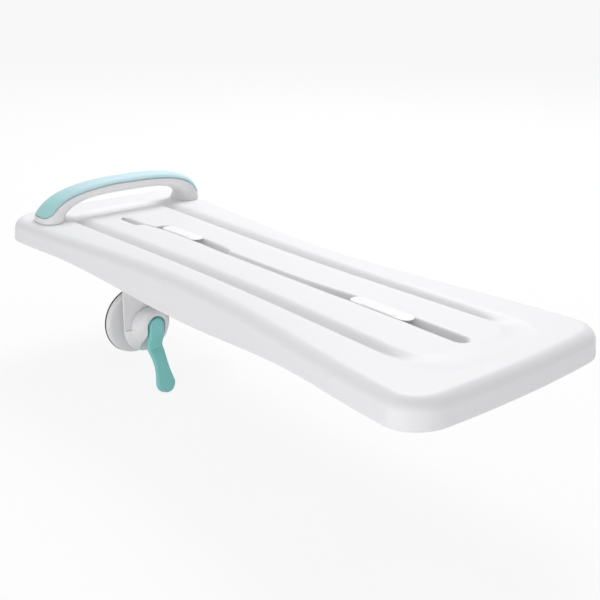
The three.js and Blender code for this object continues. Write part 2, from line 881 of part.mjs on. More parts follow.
// A pad carrier: a saucer turned about X, with the plunger that moves it.
function carrierSolid() {
  const rim = carrier_radius;
  const lip = carrier_back + carrier_lip;
  const saucer = turned([
    [0, carrier_back],
    [rim - carrier_lip / 2, carrier_back],
    [rim, carrier_back + carrier_lip / 2],
    [rim - carrier_lip / 4, lip],
    [rim - carrier_lip, lip + carrier_lip / 4],
    [rim - 2 * carrier_lip, lip - carrier_lip / 4],
    [(rim + hub_radius) / 2, lip - carrier_lip / 4],
    [hub_radius, hub_front - carrier_lip / 4],
    [hub_radius - carrier_lip / 2, hub_front],
    [0, hub_front],
  ], carrier_z);
  return saucer.add(rod(plunger_radius, hub_front - fit, follower_x - fit, plunger_z));
}

// The link: a flat bar with an eye on each plunger, so that both pads move together.
function linkSolid() {
  const x0 = hub_front + fit;
  const x1 = x0 + link_thickness;
  const half = link_width / 2;
  let body = box(x0, x1, -clamp_y, clamp_y, plunger_z - half, plunger_z + half);
  for (const y of [-clamp_y, clamp_y]) {
    body = body.add(rod(link_eye_radius, x0, x1, plunger_z).translate([0, y, 0]));
  }
  for (const y of [-clamp_y, clamp_y]) {
    const eye = rod(plunger_radius + fit / 2, x0 - overrun, x1 + overrun, plunger_z);
    body = body.subtract(eye.translate([0, y, 0]));
  }
  return body;
}

function rubberSolid() {
  const outer = carrier_radius + rubber_overhang;
  const inner = carrier_radius + fit;
  const back = carrier_back - rubber_thickness;
  return turned([
    [0, back],
    [outer - rubber_thickness / 2, back],
    [outer, back + rubber_thickness / 2],
    [outer, carrier_back + rubber_lip],
    [inner, carrier_back + rubber_lip],
    [inner, carrier_back - fit],
    [0, carrier_back - fit],
  ], carrier_z);
}

function clipSolid() {
  const ring = rod(clip_radius, follower_x - clip_thickness, follower_x - fit, plunger_z);
  const bore = plunger_radius + fit / 2;
  return ring.subtract(rod(bore, follower_x - overrun, follower_x + overrun, plunger_z));
}

class SpringPath extends THREE.Curve {
  getPoint(t, target = new THREE.Vector3()) {
    const turn = 2 * Math.PI * spring_turns * t;
    const along = spring_space - 2 * (spring_wire_radius + fit);
    return target.set(
      (t - 1 / 2) * along,
      spring_radius * Math.cos(turn),
      spring_radius * Math.sin(turn),
    );
  }
}

function springSolid() {
  const wire = new THREE.Shape().absarc(0, 0, spring_wire_radius, 0, 2 * Math.PI);
  return solid(new THREE.ExtrudeGeometry(wire, {
    steps: spring_turns * 10,
    extrudePath: new SpringPath(),
    curveSegments: 3,
  }));
}

// The right bracket: a short bar under the slot and a leg with a round lower end.
function stopLegSolid() {
  const [back, front] = stop_leg_x;
  const bar = roundedBox(stop_bar_length, stop_bar_width, bar_corner);
  const leg = tombstone(stop_radius, stop_z, stop_bar_bottom + 2 * stop_edge);
  let body = solid(raised(bar, stop_bar_bottom, bar_top, 0, 4));
  body = body.add(solid(alongX(leg, back, front, stop_edge, 9)));
  body = body.add(rod(buffer_stud_radius, front - stop_edge, front + buffer_stud_height, stop_z));
  return drilled(body, stop_bar_bottom);
}

function bufferSolid() {
  const back = stop_leg_x[1] + fit;
  const shape = new THREE.Shape().absarc(0, stop_z, stop_radius - buffer_inset, 0, 2 * Math.PI);
  const body = solid(alongX(shape, back, back + buffer_thickness, buffer_edge, 12));
  const stud_end = stop_leg_x[1] + buffer_stud_height + fit;
  return body.subtract(rod(buffer_stud_radius + fit, back - overrun, stud_end, stop_z));
}

const finishes = {
  plastic: { color: white, roughness: 0.32, metalness: 0 },
  grip: { color: pale_blue, roughness: 0.55, metalness: 0 },
  lever: { color: teal, roughness: 0.42, metalness: 0 },
  rubber: { color: near_black, roughness: 0.8, metalness: 0 },
  steel: { color: steel_grey, roughness: 0.35, metalness: 1 },
};

function addPiece(parent, name, body, finish, place = [0, 0, 0]) {
  const mesh = new THREE.Mesh(geometryOf(body), new THREE.MeshStandardMaterial(finishes[finish]));
  mesh.name = name;
  mesh.position.set(...place);
  parent.add(mesh);
}

function addGroup(parent, name, place) {
  const node = new THREE.Group();
  node.name = name;
  node.position.set(...place);
  parent.add(node);
  return node;
}

function addBoard(root) {
  addPiece(root, 'board', boardSolid(), 'plastic');
  restPadPlaces.forEach(([x, y]) => {
    const name = `${x < 0 ? 'left' : 'right'}_${y < 0 ? 'near' : 'far'}_rest_pad`;
    addPiece(root, name, restPadSolid(), 'rubber', [x, y, 0]);
  });
}

function addHandle(root) {
  const handle = addGroup(root, 'handle', [...handle_place, deck_height + fit]);
  addPiece(handle, 'handle_base', handleBaseSolid(), 'plastic');
  addPiece(handle, 'handle_grip', archSolid().intersect(gripLayer(0)), 'grip');
  const screw_length = deck_height - handle_screw_seat + screw_bite;
  handleScrewPlaces.map(onBoard).forEach(([x, y], i) => {
    const place = [x, y, handle_screw_seat - fit];
    addPiece(root, `handle_screw_${i + 1}`, screwSolid(screw_length), 'steel', place);
  });
}

function addCapScrews(slider, side) {
  const screw_length = stem_bottom - cap_screw_seat + screw_bite - fit;
  capScrewPlaces.forEach((x, i) => {
    const place = [x, 0, cap_screw_seat - fit];
    addPiece(slider, `${side}_cap_screw_${i + 1}`, screwSolid(screw_length), 'steel', place);
  });
}

function addLeftBracket(root) {
  const slider = addGroup(root, 'left_slider', [left_slider_x, 0, 0]);
  addPiece(slider, 'left_cap', capSolid(left_cap_length, left_stem_length), 'plastic');
  addPiece(slider, 'left_bracket', leftBracketSolid(), 'plastic');
  addCapScrews(slider, 'left');
  const clamp = addGroup(slider, 'lever_clamp', [pin_x, -clamp_y, pin_z]);
  const pin = new THREE.CylinderGeometry(pin_radius, pin_radius, pin_length, 20);
  addPiece(clamp, 'lever', leverSolid(), 'lever');
  addPiece(clamp, 'lever_pin', solid(pin), 'steel');
  addPiece(slider, 'pad_link', linkSolid(), 'plastic');
  for (const [side, y] of [['near', -clamp_y], ['far', clamp_y]]) {
    const pad = addGroup(slider, `${side}_pad`, [0, y, 0]);
    const spring_x = spring_floor + spring_space / 2;
    addPiece(pad, `${side}_pad_carrier`, carrierSolid(), 'plastic');
    addPiece(pad, `${side}_pad_rubber`, rubberSolid(), 'rubber');
    addPiece(pad, `${side}_plunger_clip`, clipSolid(), 'steel');
    addPiece(pad, `${side}_return_spring`, springSolid(), 'steel', [spring_x, 0, plunger_z]);
  }
}

function addRightBracket(root) {
  const slider = addGroup(root, 'right_slider', [right_slider_x, 0, 0]);
  addPiece(slider, 'right_cap', capSolid(right_cap_length, right_stem_length), 'plastic');
  addPiece(slider, 'stop_leg', stopLegSolid(), 'plastic');
  addPiece(slider, 'stop_buffer', bufferSolid(), 'rubber');
  addCapScrews(slider, 'right');
}

const bathBoard = new THREE.Group();
bathBoard.name = 'bath_board';
addBoard(bathBoard);
addHandle(bathBoard);
addLeftBracket(bathBoard);
addRightBracket(bathBoard);

export default bathBoard;
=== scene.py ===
# %% [markdown]
# # A bath board
#
# A bath board is a moulded seat that lies across a bath. This lesson dresses one: a white
# waisted board with a drain groove, an arched grab handle with a soft grip, and two
# sliding brackets below, one of which carries a lever and a pair of round rubber pads.
# The frame that is loaded first fixes where each piece lies and how it moves.

# %% Load the frame
import json
import bmesh
import bpy
import numpy as np
from mathutils import Matrix, Vector
from mathutils.geometry import tessellate_polygon


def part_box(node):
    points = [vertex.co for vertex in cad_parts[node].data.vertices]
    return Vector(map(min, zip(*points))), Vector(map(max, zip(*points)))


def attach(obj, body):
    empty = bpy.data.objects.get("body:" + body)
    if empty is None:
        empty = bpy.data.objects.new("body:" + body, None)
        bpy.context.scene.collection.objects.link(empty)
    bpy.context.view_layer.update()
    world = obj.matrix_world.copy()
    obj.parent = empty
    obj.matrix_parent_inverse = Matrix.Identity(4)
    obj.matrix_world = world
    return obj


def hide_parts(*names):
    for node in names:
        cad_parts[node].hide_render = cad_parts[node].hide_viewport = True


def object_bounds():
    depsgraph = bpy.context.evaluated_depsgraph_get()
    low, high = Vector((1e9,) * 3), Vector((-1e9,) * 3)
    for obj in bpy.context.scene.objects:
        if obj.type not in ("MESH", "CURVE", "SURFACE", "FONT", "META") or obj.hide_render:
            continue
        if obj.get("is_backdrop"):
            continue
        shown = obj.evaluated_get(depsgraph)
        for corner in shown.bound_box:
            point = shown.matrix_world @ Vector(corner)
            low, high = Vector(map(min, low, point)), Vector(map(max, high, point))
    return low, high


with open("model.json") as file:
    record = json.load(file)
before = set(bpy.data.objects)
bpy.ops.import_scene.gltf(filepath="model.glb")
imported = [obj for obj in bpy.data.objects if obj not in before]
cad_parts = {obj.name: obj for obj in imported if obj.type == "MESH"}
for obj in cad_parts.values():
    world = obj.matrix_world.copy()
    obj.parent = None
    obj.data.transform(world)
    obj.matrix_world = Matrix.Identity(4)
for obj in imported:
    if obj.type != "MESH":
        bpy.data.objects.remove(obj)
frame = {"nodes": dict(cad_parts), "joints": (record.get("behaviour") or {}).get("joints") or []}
frame_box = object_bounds()

# %% [markdown]
# ## From formula to mesh
#
# Every new surface here is a grid of points worked out with numpy, in millimetres. A grid
# could be typed in point by point or pulled into shape by hand, but a formula keeps the
# surface smooth and lets one value change the whole. The helpers below turn grids into
# one welded mesh. Flat areas with holes in them are filled between closed loops.

# %% Grids, loops and welding
MILLIMETRE = 0.001
CREASE_ANGLE = np.radians(38)
WELD = 0.002


def grid_faces(rows, columns, around):
    """The four-sided faces of a grid; with around, the last column joins the first."""
    across = columns if around else columns - 1
    r, c = np.meshgrid(np.arange(rows - 1), np.arange(across), indexing="ij")
    a = r * columns + c
    b = r * columns + (c + 1) % columns
    return np.stack([a, b, b + columns, a + columns], axis=-1).reshape(-1, 4)


def fill_between(loops):
    """Triangles over a flat area: inside the first loop and outside the others."""
    vectors = [[Vector(p) for p in loop] for loop in loops]
    return np.array(tessellate_polygon(vectors))


def welded_mesh(name, grids, flats):
    """One mesh from grids, given as (points, around), and from flat areas, given as lists
    of closed loops. Points closer than the weld distance become one."""
    points, faces, start = [], [], 0
    for grid, around in grids:
        rows, columns = grid.shape[:2]
        points.append(grid.reshape(-1, 3))
        faces += (grid_faces(rows, columns, around) + start).tolist()
        start += rows * columns
    for loops in flats:
        faces += (fill_between(loops) + start).tolist()
        points.append(np.concatenate(loops))
        start += len(points[-1])
    mesh = bpy.data.meshes.new(name)
    mesh.from_pydata((np.concatenate(points) * MILLIMETRE).tolist(), [], faces)
    work = bmesh.new()
    work.from_mesh(mesh)
    bmesh.ops.remove_doubles(work, verts=work.verts, dist=WELD * MILLIMETRE)
    bmesh.ops.dissolve_degenerate(work, edges=work.edges, dist=WELD * MILLIMETRE / 2)
    bmesh.ops.recalc_face_normals(work, faces=work.faces)
    work.to_mesh(mesh)
    work.free()
    mesh.shade_smooth()
    mesh.set_sharp_from_angle(angle=CREASE_ANGLE)
    return mesh


def smoothstep(t):
    """0 below 0, 1 above 1, and 3t^2 - 2t^3 in between."""
    t = np.clip(t, 0, 1)
    return t * t * (3 - 2 * t)


def mix(a, b, t):
    """Straight from a at t = 0 to b at t = 1."""
    return a + (b - a) * t


def quarter_fall(share):
    """How far a quarter circle lies below its top, from 1 at share 0 to 0 at share 1."""
    return 1 - np.sqrt(1 - (1 - share) ** 2)


def spaced(stops, counts):
    """Values from stop to stop, with a count of equally spaced ones for each run."""
    runs = [np.linspace(a, b, n)[:-1] for a, b, n in zip(stops, stops[1:], counts)]
    return np.concatenate([*runs, stops[-1:]])


def soft_table(at, places, values, steps):
    """A table read between its places, softened: the mean over a few steps each way."""
    return np.mean([np.interp(at + step, places, values) for step in steps], axis=0)


# %% Forms and pieces
def closed(grid):
    """A form, which is a pair of grids and flat areas: here one grid that runs round, with
    its first and last rows filled."""
    return [(grid, True)], [[grid[0]], [grid[-1]]]


def together(*forms):
    """Several forms as one."""
    return [g for form in forms for g in form[0]], [f for form in forms for f in form[1]]


def moved(form, x, y, z=0.0):
    """A form moved by a step."""
    step = np.array([x, y, z])
    grids = [(grid + step, around) for grid, around in form[0]]
    return grids, [[loop + step for loop in loops] for loops in form[1]]


def add_object(name, data):
    """A new object in the scene."""
    made = bpy.data.objects.new(name, data)
    bpy.context.scene.collection.objects.link(made)
    return made


def piece(name, form, material, body, slot, *nodes):
    """A finished piece of the object: it rides on a body and stands for nodes."""
    made = add_object(name, welded_mesh(name, *form))
    made.data.materials.append(material)
    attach(made, body)
    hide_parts(*nodes)
    print(f"{name}: {len(made.data.polygons)} faces")


# %% [markdown]
# ## Finishes
#
# The board, the caps and the brackets are white moulding resins with a satin gloss.
# Moulded plastic is never one flat colour: its skin has a very fine grain, its gloss
# wanders a little, and it shows faint marks from handling. Three small node groups make
# these effects once, and each finish sets their amounts.

# %% Node helpers
def shade(red, green, blue):
    """The linear colour of a screen colour given from 0 to 255."""
    screen = np.array([red, green, blue]) / 255
    low = screen / 12.92
    high = ((screen + 0.055) / 1.055) ** 2.4
    return (*np.where(screen <= 0.04045, low, high).tolist(), 1.0)


def feed(tree, target, sources):
    """Fills inputs of a node, by a link from another socket or with a value."""
    for socket, source in sources.items():
        if isinstance(source, bpy.types.NodeSocket):
            tree.links.new(source, target.inputs[socket])
        else:
            target.inputs[socket].default_value = source


def node(tree, kind, sources=None, **settings):
    """A shader node with some of its settings, and its inputs fed."""
    made = tree.nodes.new(f"ShaderNode{kind}")
    for key, value in settings.items():
        setattr(made, key, value)
    feed(tree, made, sources or {})
    return made


def noise(tree, vector, scale, detail, roughness=0.5):
    """The value of a noise texture, from 0 to 1."""
    return node(tree, "TexNoise", {"Vector": vector, "Scale": scale, "Detail": detail,
                "Roughness": roughness}).outputs["Fac"]


def effect_group(name, inputs, result, kind="Float"):
    """An empty shader node group that takes a Vector and the inputs, each a label, a kind
    and a default, and gives one result. Returns it with its sockets and output node."""
    group = bpy.data.node_groups.new(name, "ShaderNodeTree")
    for label, takes, value in [("Vector", "Vector", None), *inputs]:
        socket = group.interface.new_socket(
            label, in_out="INPUT", socket_type=f"NodeSocket{takes}")
        if value is not None:
            socket.default_value = value
    group.interface.new_socket(result, in_out="OUTPUT", socket_type=f"NodeSocket{kind}")
    given = group.nodes.new("NodeGroupInput").outputs
    return group, given, group.nodes.new("NodeGroupOutput")


# %% The shared effects
SCUFF = shade(150, 150, 152)


def moulded_grain_group():
    """Height of a fine pebbled skin: two octaves of noise at the scale asked for."""
    group, given, out = effect_group("moulded grain", [("Scale", "Float", 1500.0)], "Height")
    feed(group, out, {"Height": noise(group, given["Vector"], given["Scale"], 2.0, 0.6)})
    return group


def gloss_drift_group():
    """Roughness that wanders slowly about a middle value by a given spread."""
    group, given, out = effect_group(
        "gloss drift", [("Middle", "Float", 0.35), ("Spread", "Float", 0.08),
                        ("Scale", "Float", 14.0)], "Roughness")
    value = noise(group, given["Vector"], given["Scale"], 4.0)
    centred = node(group, "Math", {0: value, 1: 0.5}, operation="SUBTRACT")
    spread = node(group, "Math", {0: centred.outputs[0], 1: given["Spread"],
                  2: given["Middle"]}, operation="MULTIPLY_ADD")
    feed(group, out, {"Roughness": spread.outputs[0]})
    return group


def handling_marks_group():
    """A colour with faint scuffs: stretched noise, cut off high, darkens it a little."""
    group, given, out = effect_group(
        "handling marks", [("Color", "Color", None), ("Amount", "Float", 0.06),
                           ("Scale", "Float", 60.0)], "Color", "Color")
    stretched = node(group, "Mapping", {"Vector": given["Vector"],
                     "Rotation": (0.3, 0.2, 0.5), "Scale": (1.0, 9.0, 3.0)})
    value = noise(group, stretched.outputs["Vector"], given["Scale"], 3.0)
    marks = node(group, "MapRange", {"Value": value, "From Min": 0.58, "From Max": 0.78,
                 "To Min": 0.0, "To Max": given["Amount"]})
    scuffed = node(group, "Mix", {"Factor": marks.outputs[0], "A": given["Color"],
                   "B": SCUFF}, data_type="RGBA")
    feed(group, out, {"Color": scuffed.outputs["Result"]})
    return group


MOULDED_GRAIN = moulded_grain_group()
GLOSS_DRIFT = gloss_drift_group()
HANDLING_MARKS = handling_marks_group()
print("effects:", sorted(group.name for group in bpy.data.node_groups))

# %% [markdown]
# A material is then a Principled shader that takes its colour, gloss and bump from these
# groups. The pattern reads Object coordinates: every piece keeps its place in its mesh, so
# these are real metres, and the grain has the same size on every piece.

# %% One recipe for all moulded finishes
GRAIN_DISTANCE = 0.0002
PALE_BLUE = shade(202, 232, 239)
SHADED_AQUA = shade(172, 222, 224)
STEEL_GREY = shade(190, 194, 198)
FINISHES = {
    "white moulding": (shade(238, 238, 240), 0.46, 0.10, 900, 0.10, 0.05),
    "white cap moulding": (shade(248, 248, 250), 0.42, 0.10, 1100, 0.10, 0.04),
    "bracket moulding": (shade(238, 238, 239), 0.5, 0.12, 1400, 0.35, 0.07),
    "teal lever moulding": (shade(140, 217, 213), 0.48, 0.12, 1300, 0.4, 0.05),
    "black pad rubber": (shade(24, 26, 28), 0.78, 0.10, 2200, 0.6, 0.16),
}


def new_material(name):
    """A material with its tree, its Principled shader and the Object coordinates."""
    material = bpy.data.materials.new(name)
    material.use_nodes = True
    tree = material.node_tree
    place = node(tree, "TexCoord").outputs["Object"]
    return material, tree, tree.nodes["Principled BSDF"], place


def moulding(name, colour, roughness, drift, grain_scale, grain, marks):
    """A moulded finish. drift is the spread of the roughness, grain the strength of the
    bump and marks the depth of the scuffs. Returns what a finer finish builds on."""
    material, tree, shader, place = new_material(name)
    marked, gloss, skin = (
        node(tree, "Group", {"Vector": place, **amounts}, node_tree=group)
        for group, amounts in ((HANDLING_MARKS, {"Color": colour, "Amount": marks}),
                               (GLOSS_DRIFT, {"Middle": roughness, "Spread": drift}),
                               (MOULDED_GRAIN, {"Scale": grain_scale})))
    bump = node(tree, "Bump", {"Height": skin.outputs["Height"],
                "Strength": grain, "Distance": GRAIN_DISTANCE})
    feed(tree, shader, {"Base Color": marked.outputs["Color"],
                        "Roughness": gloss.outputs["Roughness"],
                        "Normal": bump.outputs["Normal"]})
    return material, tree, place, marked


finish = {name: moulding(name, *amounts)[0] for name, amounts in FINISHES.items()}
print("finishes:", list(finish))

# %% [markdown]
# The grip is a soft rubbery moulding. Its colour is mixed along Y with painted shade: a pale
# blue on the crest deepens to a stronger aqua at the near foot. The steel of the small parts
# has fine drawn lines.

# %% The grip and the steel
def grip_finish():
    """Pale blue, with painted shade that deepens it to aqua towards the near foot."""
    material, tree, place, marked = moulding(
        "soft blue grip", PALE_BLUE, 0.58, 0.10, 1700, 0.45, 0.04)
    axes = node(tree, "SeparateXYZ", {0: place})
    # Painted shade: a smooth step along Y mixes the pale blue into aqua towards the near foot.
    along = node(tree, "MapRange", {"Value": axes.outputs["Y"],
                 "From Min": -0.118, "From Max": -0.035, "To Min": 0.0, "To Max": 1.0},
                 interpolation_type="SMOOTHSTEP")
    painted_shade = node(tree, "Mix", {"Factor": along.outputs[0], "A": SHADED_AQUA,
                 "B": PALE_BLUE}, data_type="RGBA")
    feed(tree, marked, {"Color": painted_shade.outputs["Result"]})
    return material


def steel_finish():
    """Bright plain steel with fine drawn lines."""
    material, tree, shader, place = new_material("bright steel")
    drawn = node(tree, "Mapping", {"Vector": place, "Scale": (1.0, 1.0, 30.0)})
    lines = noise(tree, drawn.outputs["Vector"], 400.0, 2.0)
    gloss = node(tree, "MapRange", {"Value": lines, "To Min": 0.22, "To Max": 0.42})
    feed(tree, shader, {"Base Color": STEEL_GREY, "Metallic": 1.0,
                        "Roughness": gloss.outputs[0]})
    return material


finish["soft blue grip"] = grip_finish()
finish["bright steel"] = steel_finish()
print("finishes:", len(finish), "in all")

# %% [markdown]
# ## The plan of the board
#
# Seen from above, the board is wide at both ends and drawn in at its waist. The waist is
# one wave of a cosine, and the ends bow outwards a little. Where a long side meets an end,
# a quarter turn is fitted between their two tangents, so the corner starts and ends
# smoothly whatever the angle there.

# %% Sizes of the board, in millimetres
LENGTH = 740
END_WIDTH = 278
WAIST_WIDTH = 216
WAIST_X = 15
DECK = 29.4
WALL = 3.2
EDGE_RADIUS = 13.7
SKIRT_LIFT = 2
SKIRT_DIP = 19
SKIRT_DIP_REACH = 253
SHOULDER_INSET = 1.4
END_BOWS = (5.4, 6.9)
CORNER_RADII = (52, 39)
PLAN_COUNTS = (150, 44, 34)


def waist(x):
    """1 at the waist, 0 at both ends: half a cosine wave on each side."""
    reach = np.where(x < WAIST_X, LENGTH / 2 + WAIST_X, LENGTH / 2 - WAIST_X)
    share = np.clip(np.abs(x - WAIST_X) / reach, 0, 1)
    return (1 + np.cos(np.pi * share)) / 2


def board_half_width(x):
    """Half the board's width at x."""
    return (END_WIDTH - (END_WIDTH - WAIST_WIDTH) * waist(x)) / 2


def skirt_bottom(x):
    """Height of the lower edge of the skirt: it dips by a cosine wave in the middle."""
    share = np.clip(np.abs(x) / SKIRT_DIP_REACH, 0, 1)
    return SKIRT_LIFT - SKIRT_DIP * (1 + np.cos(np.pi * share)) / 2


# %% A closed plan line
def quarter_turn(run, following, count):
    """Points of a corner: from the end of one run to the start of the next, along
    corner + (a - corner)(1 - sin t) + (b - corner)(1 - cos t), with t a quarter turn."""
    a, b = run[-1], following[0]
    along_a, along_b = a - run[-2], following[1] - b
    cross = along_a[0] * along_b[1] - along_a[1] * along_b[0]
    reach = ((b - a)[0] * along_b[1] - (b - a)[1] * along_b[0]) / cross
    corner = a + along_a * reach
    t = (np.pi / 2 * np.arange(1, count) / count)[:, None]
    return corner + (a - corner) * (1 - np.sin(t)) + (b - corner) * (1 - np.cos(t))


def plan_line(ends, half_width, radii):
    """A closed line, counter-clockwise: two long sides y = half_width(x), two ends bowed
    as a parabola, and a quarter turn in each corner."""
    side, end, corner = PLAN_COUNTS
    x = np.linspace(ends[0] + radii[0], ends[1] - radii[1], side)
    runs = [np.stack([x, -half_width(x)], -1), None,
            np.stack([x, half_width(x)], -1)[::-1], None]
    for k, place in ((1, 1), (3, 0)):
        wide = half_width(np.array(float(ends[place])))
        y = np.linspace(-1, 1, end) * (wide - radii[place])
        bowed = ends[place] - np.sign(ends[place]) * END_BOWS[place] * (y / wide) ** 2
        runs[k] = np.stack([bowed, y], -1)[:: 1 if place else -1]
    corners = [quarter_turn(runs[i], runs[(i + 1) % 4], corner) for i in range(4)]
    return np.concatenate([part for pair in zip(runs, corners) for part in pair])


def outward(line):
    """The unit direction that points out of a counter-clockwise line at each point."""
    along = np.roll(line, -1, axis=0) - np.roll(line, 1, axis=0)
    return np.stack([along[:, 1], -along[:, 0]], -1) / np.linalg.norm(along, axis=1)[:, None]


def at_height(line, z):
    """A plan line lifted to a height, or to one height for each point."""
    return np.concatenate([line, np.broadcast_to(z, len(line))[:, None]], axis=1)


BOARD_PLAN = plan_line((-LENGTH / 2, LENGTH / 2), board_half_width, CORNER_RADII)
BOARD_OUT = outward(BOARD_PLAN)
print("board plan:", len(BOARD_PLAN), "points")

# %% [markdown]
# ## The edge and the skirt
#
# The deck rolls over into the skirt through a large soft radius. The surface is the plan
# line, drawn inwards step by step while its height follows a quarter circle. Below it the
# skirt runs almost straight down to a lower edge that dips between the walls of the bath,
# and a second skin, one wall thickness inside, closes the shell.

# %% Rings from the lip of the skirt up to the deck
LIP_RADIUS = 1.3


def plan_ring(inset, z):
    """The plan line drawn inwards by an inset, at a height."""
    return at_height(BOARD_PLAN - BOARD_OUT * inset, z)


def lip_rings(count):
    """Half a turn round the lower edge, from the outer skin to the inner one."""
    low = skirt_bottom(BOARD_PLAN[:, 0])
    rings = []
    for t in np.linspace(0, np.pi, count):
        inset = LIP_RADIUS * (1 - np.cos(t)) + (WALL - 2 * LIP_RADIUS) * (t > np.pi / 2)
        rings.append(plan_ring(inset, low + LIP_RADIUS * (1 - np.sin(t))))
    return rings


def skin(inset, skirt_rows, edge_rows):
    """One skin of the shell, an inset inside the outer face: a skirt that runs straight in
    height and draft up to the shoulder, then a quarter circle on to the flat."""
    radius, top = EDGE_RADIUS - inset, DECK - inset
    low = skirt_bottom(BOARD_PLAN[:, 0]) + LIP_RADIUS
    skirt = [plan_ring(inset + SHOULDER_INSET * s, mix(low, top - radius, s))
             for s in np.linspace(0, 1, skirt_rows)]
    edge = [plan_ring(SHOULDER_INSET + inset + radius * (1 - np.sin(t)),
                      top - radius * (1 - np.cos(t)))
            for t in np.linspace(np.pi / 2, 0, edge_rows)[1:]]
    return skirt + edge


outer_skin = skin(0, 10, 20)
inner_skin = skin(WALL, 6, 8)
shell_rings = outer_skin[::-1] + lip_rings(9)[1:-1] + inner_skin
print("shell:", len(shell_rings), "rings")

# %% [markdown]
# ## The ring groove
#
# The drain groove has one steep wall and one that rises softly. The steep one is the near
# wall on both long sides. At both ends the groove grows wider, softer and shallower, and
# at the far end it almost fades out. Its section is swept round a second plan line that
# lies inside the first.

# %% The groove as a swept section
GROOVE_ENDS = (-300, 326)
GROOVE_CORNERS = (20, 36)
GROOVE_WIDTH = 26
GROOVE_END_WIDENING = 10
GROOVE_PROFILE = ((0, 0), (0.06, 0.01), (0.12, 0.09), (0.18, 0.33), (0.25, 0.7), (0.32, 0.93),
                  (0.38, 1), (0.44, 0.97), (0.5, 0.83), (0.56, 0.62), (0.63, 0.42),
                  (0.72, 0.24), (0.82, 0.1), (0.92, 0.02), (1, 0))
END_PROFILE = ((0, 0), (0.04, 0.06), (0.1, 0.25), (0.2, 0.56), (0.3, 0.8), (0.4, 0.95),
               (0.48, 1), (0.6, 0.92), (0.72, 0.68), (0.84, 0.34), (0.93, 0.09), (1, 0))
GROOVE_SIDE_DEPTH = 8.0
GROOVE_HANDLE_END_DEPTH = 4.0
GROOVE_FAR_END_DEPTH = 1.4
HALF_GAP_END = 70
HALF_GAP_WAIST = 62
TROUGH_MARGIN = 5
DEPTH_FADES = ((-262, 30), (240, 85))
SECTION_FADES = ((-276, 20), (258, 56))
WIDTH_FADES = ((-270, 26), (276, 44))
SIDE_BLEND = 50
FLAT_ROW = 0.03


def end_shares(x, fades):
    """Shares of the handle end and the far end at x: smooth steps, each from a place over
    a length."""
    (left, left_run), (right, right_run) = fades
    return smoothstep((left - x) / left_run), smoothstep((x - right) / right_run)


def groove_half_gap(x):
    """Half the distance between the two long sides of the groove."""
    return HALF_GAP_END - (HALF_GAP_END - HALF_GAP_WAIST) * waist(x)


def groove_depth(x):
    """Depth of the groove: it fades towards each end by a smooth step."""
    left, right = end_shares(x, DEPTH_FADES)
    return (GROOVE_SIDE_DEPTH - (GROOVE_SIDE_DEPTH - GROOVE_HANDLE_END_DEPTH) * left
            - (GROOVE_SIDE_DEPTH - GROOVE_FAR_END_DEPTH) * right)


GROOVE_LINE = plan_line(GROOVE_ENDS, groove_half_gap, GROOVE_CORNERS)
GROOVE_OUT = outward(GROOVE_LINE)


def groove_section(k, x, y):
    """Share of the depth at k, from 0 at the outer edge to 1 at the inner one: one table
    for the near side, the same read backwards for the far side, and one for both ends,
    blended by smooth steps."""
    side, end = (np.array(table, float).T for table in (GROOVE_PROFILE, END_PROFILE))
    sides = mix(np.interp(k, *side), np.interp(1 - k, *side), smoothstep(y / SIDE_BLEND + 0.5))
    return mix(sides, np.interp(k, *end), sum(end_shares(x, SECTION_FADES)))


def groove_width(x):
    """Width of the groove: it grows towards both ends."""
    return GROOVE_WIDTH + GROOVE_END_WIDENING * sum(end_shares(x, WIDTH_FADES))


def groove_grid(margin, brim, count):
    """The section round the groove line, from outside to inside: height = brim - depth
    times the section's share. A flat row on each side keeps the deck's shading even."""
    x, y = GROOVE_LINE.T
    rows = []
    for k in np.concatenate([[-FLAT_ROW], np.linspace(0, 1, count), [1 + FLAT_ROW]]):
        line = GROOVE_LINE + GROOVE_OUT * ((0.5 - k) * (groove_width(x) + 2 * margin))[:, None]
        rows.append(at_height(line, brim - groove_depth(x) * groove_section(k, x, y)))
    return np.stack(rows)


groove = groove_grid(0, DECK, 40)
trough = groove_grid(TROUGH_MARGIN, DECK - WALL, 14)
print("groove depth at its ends:", groove_depth(np.array(GROOVE_ENDS)).round(1))

# %% [markdown]
# ## The slots in the middle of the seat
#
# Two long slots lie in line, and the caps of the brackets ride in them. A narrow groove
# joins the slots, and the first one runs out sideways into a small open pocket. All of
# this is one opening. Its near and far edges are two curves over X that pass through a
# few measured places. The near edge has a tight lip and the far one a wide soft lip, and
# both follow the opening all the way round.

# %% The opening from its two edges
OPENING_NEAR = ((-255, -18.5), (-254, -22.5), (-251, -25.3), (-246, -26.4), (-216, -26.0),
                (-212, -24.4), (-208.5, -17.0), (-206, -14.6), (-200, -13.8), (-184, -12.0),
                (-178, -10.4), (-168, -9.0), (-158, -8.6), (-96, -8.6), (-72, -9.6),
                (-50, -10.3), (60, -10.3), (140, -10.0), (160, -9.2), (240, -9.2), (262, -10.0),
                (296, -10.2), (301, -8.6), (304.5, -5), (306, 0))
OPENING_FAR = ((-255, -18.5), (-254, -14.6), (-251, -12.0), (-245, -10.9), (-222, -11.4),
               (-214, -12.0), (-207, -11.8), (-192, -9.6), (-189.5, -7.5), (-188.5, 4.5),
               (-186, 8.6), (-181, 10.3), (-115, 10.2), (-90, 9.4), (-72, 8.0),
               (-54, 6.2), (-51, 4.8), (-49.5, 2.8), (-47, 1.6), (40, 1.4), (84, 2.4), (104, 4.2),
               (130, 6.6), (152, 9.2), (162, 10.4), (296, 10.4), (301, 8.6), (304.5, 5),
               (306, 0))
NEAR_LIP = (0.7, 0.5)
FAR_LIP = (5.2, 7.2)
LIP_TURNS = np.linspace(0, np.pi / 2, 12)
LIP_MARGIN = 0.08
LIP_TAPER = 8
FULL_LIP_GAP = 15
LEAST_LIP = 0.12
EDGE_STEPS = np.linspace(-1.2, 1.2, 9)
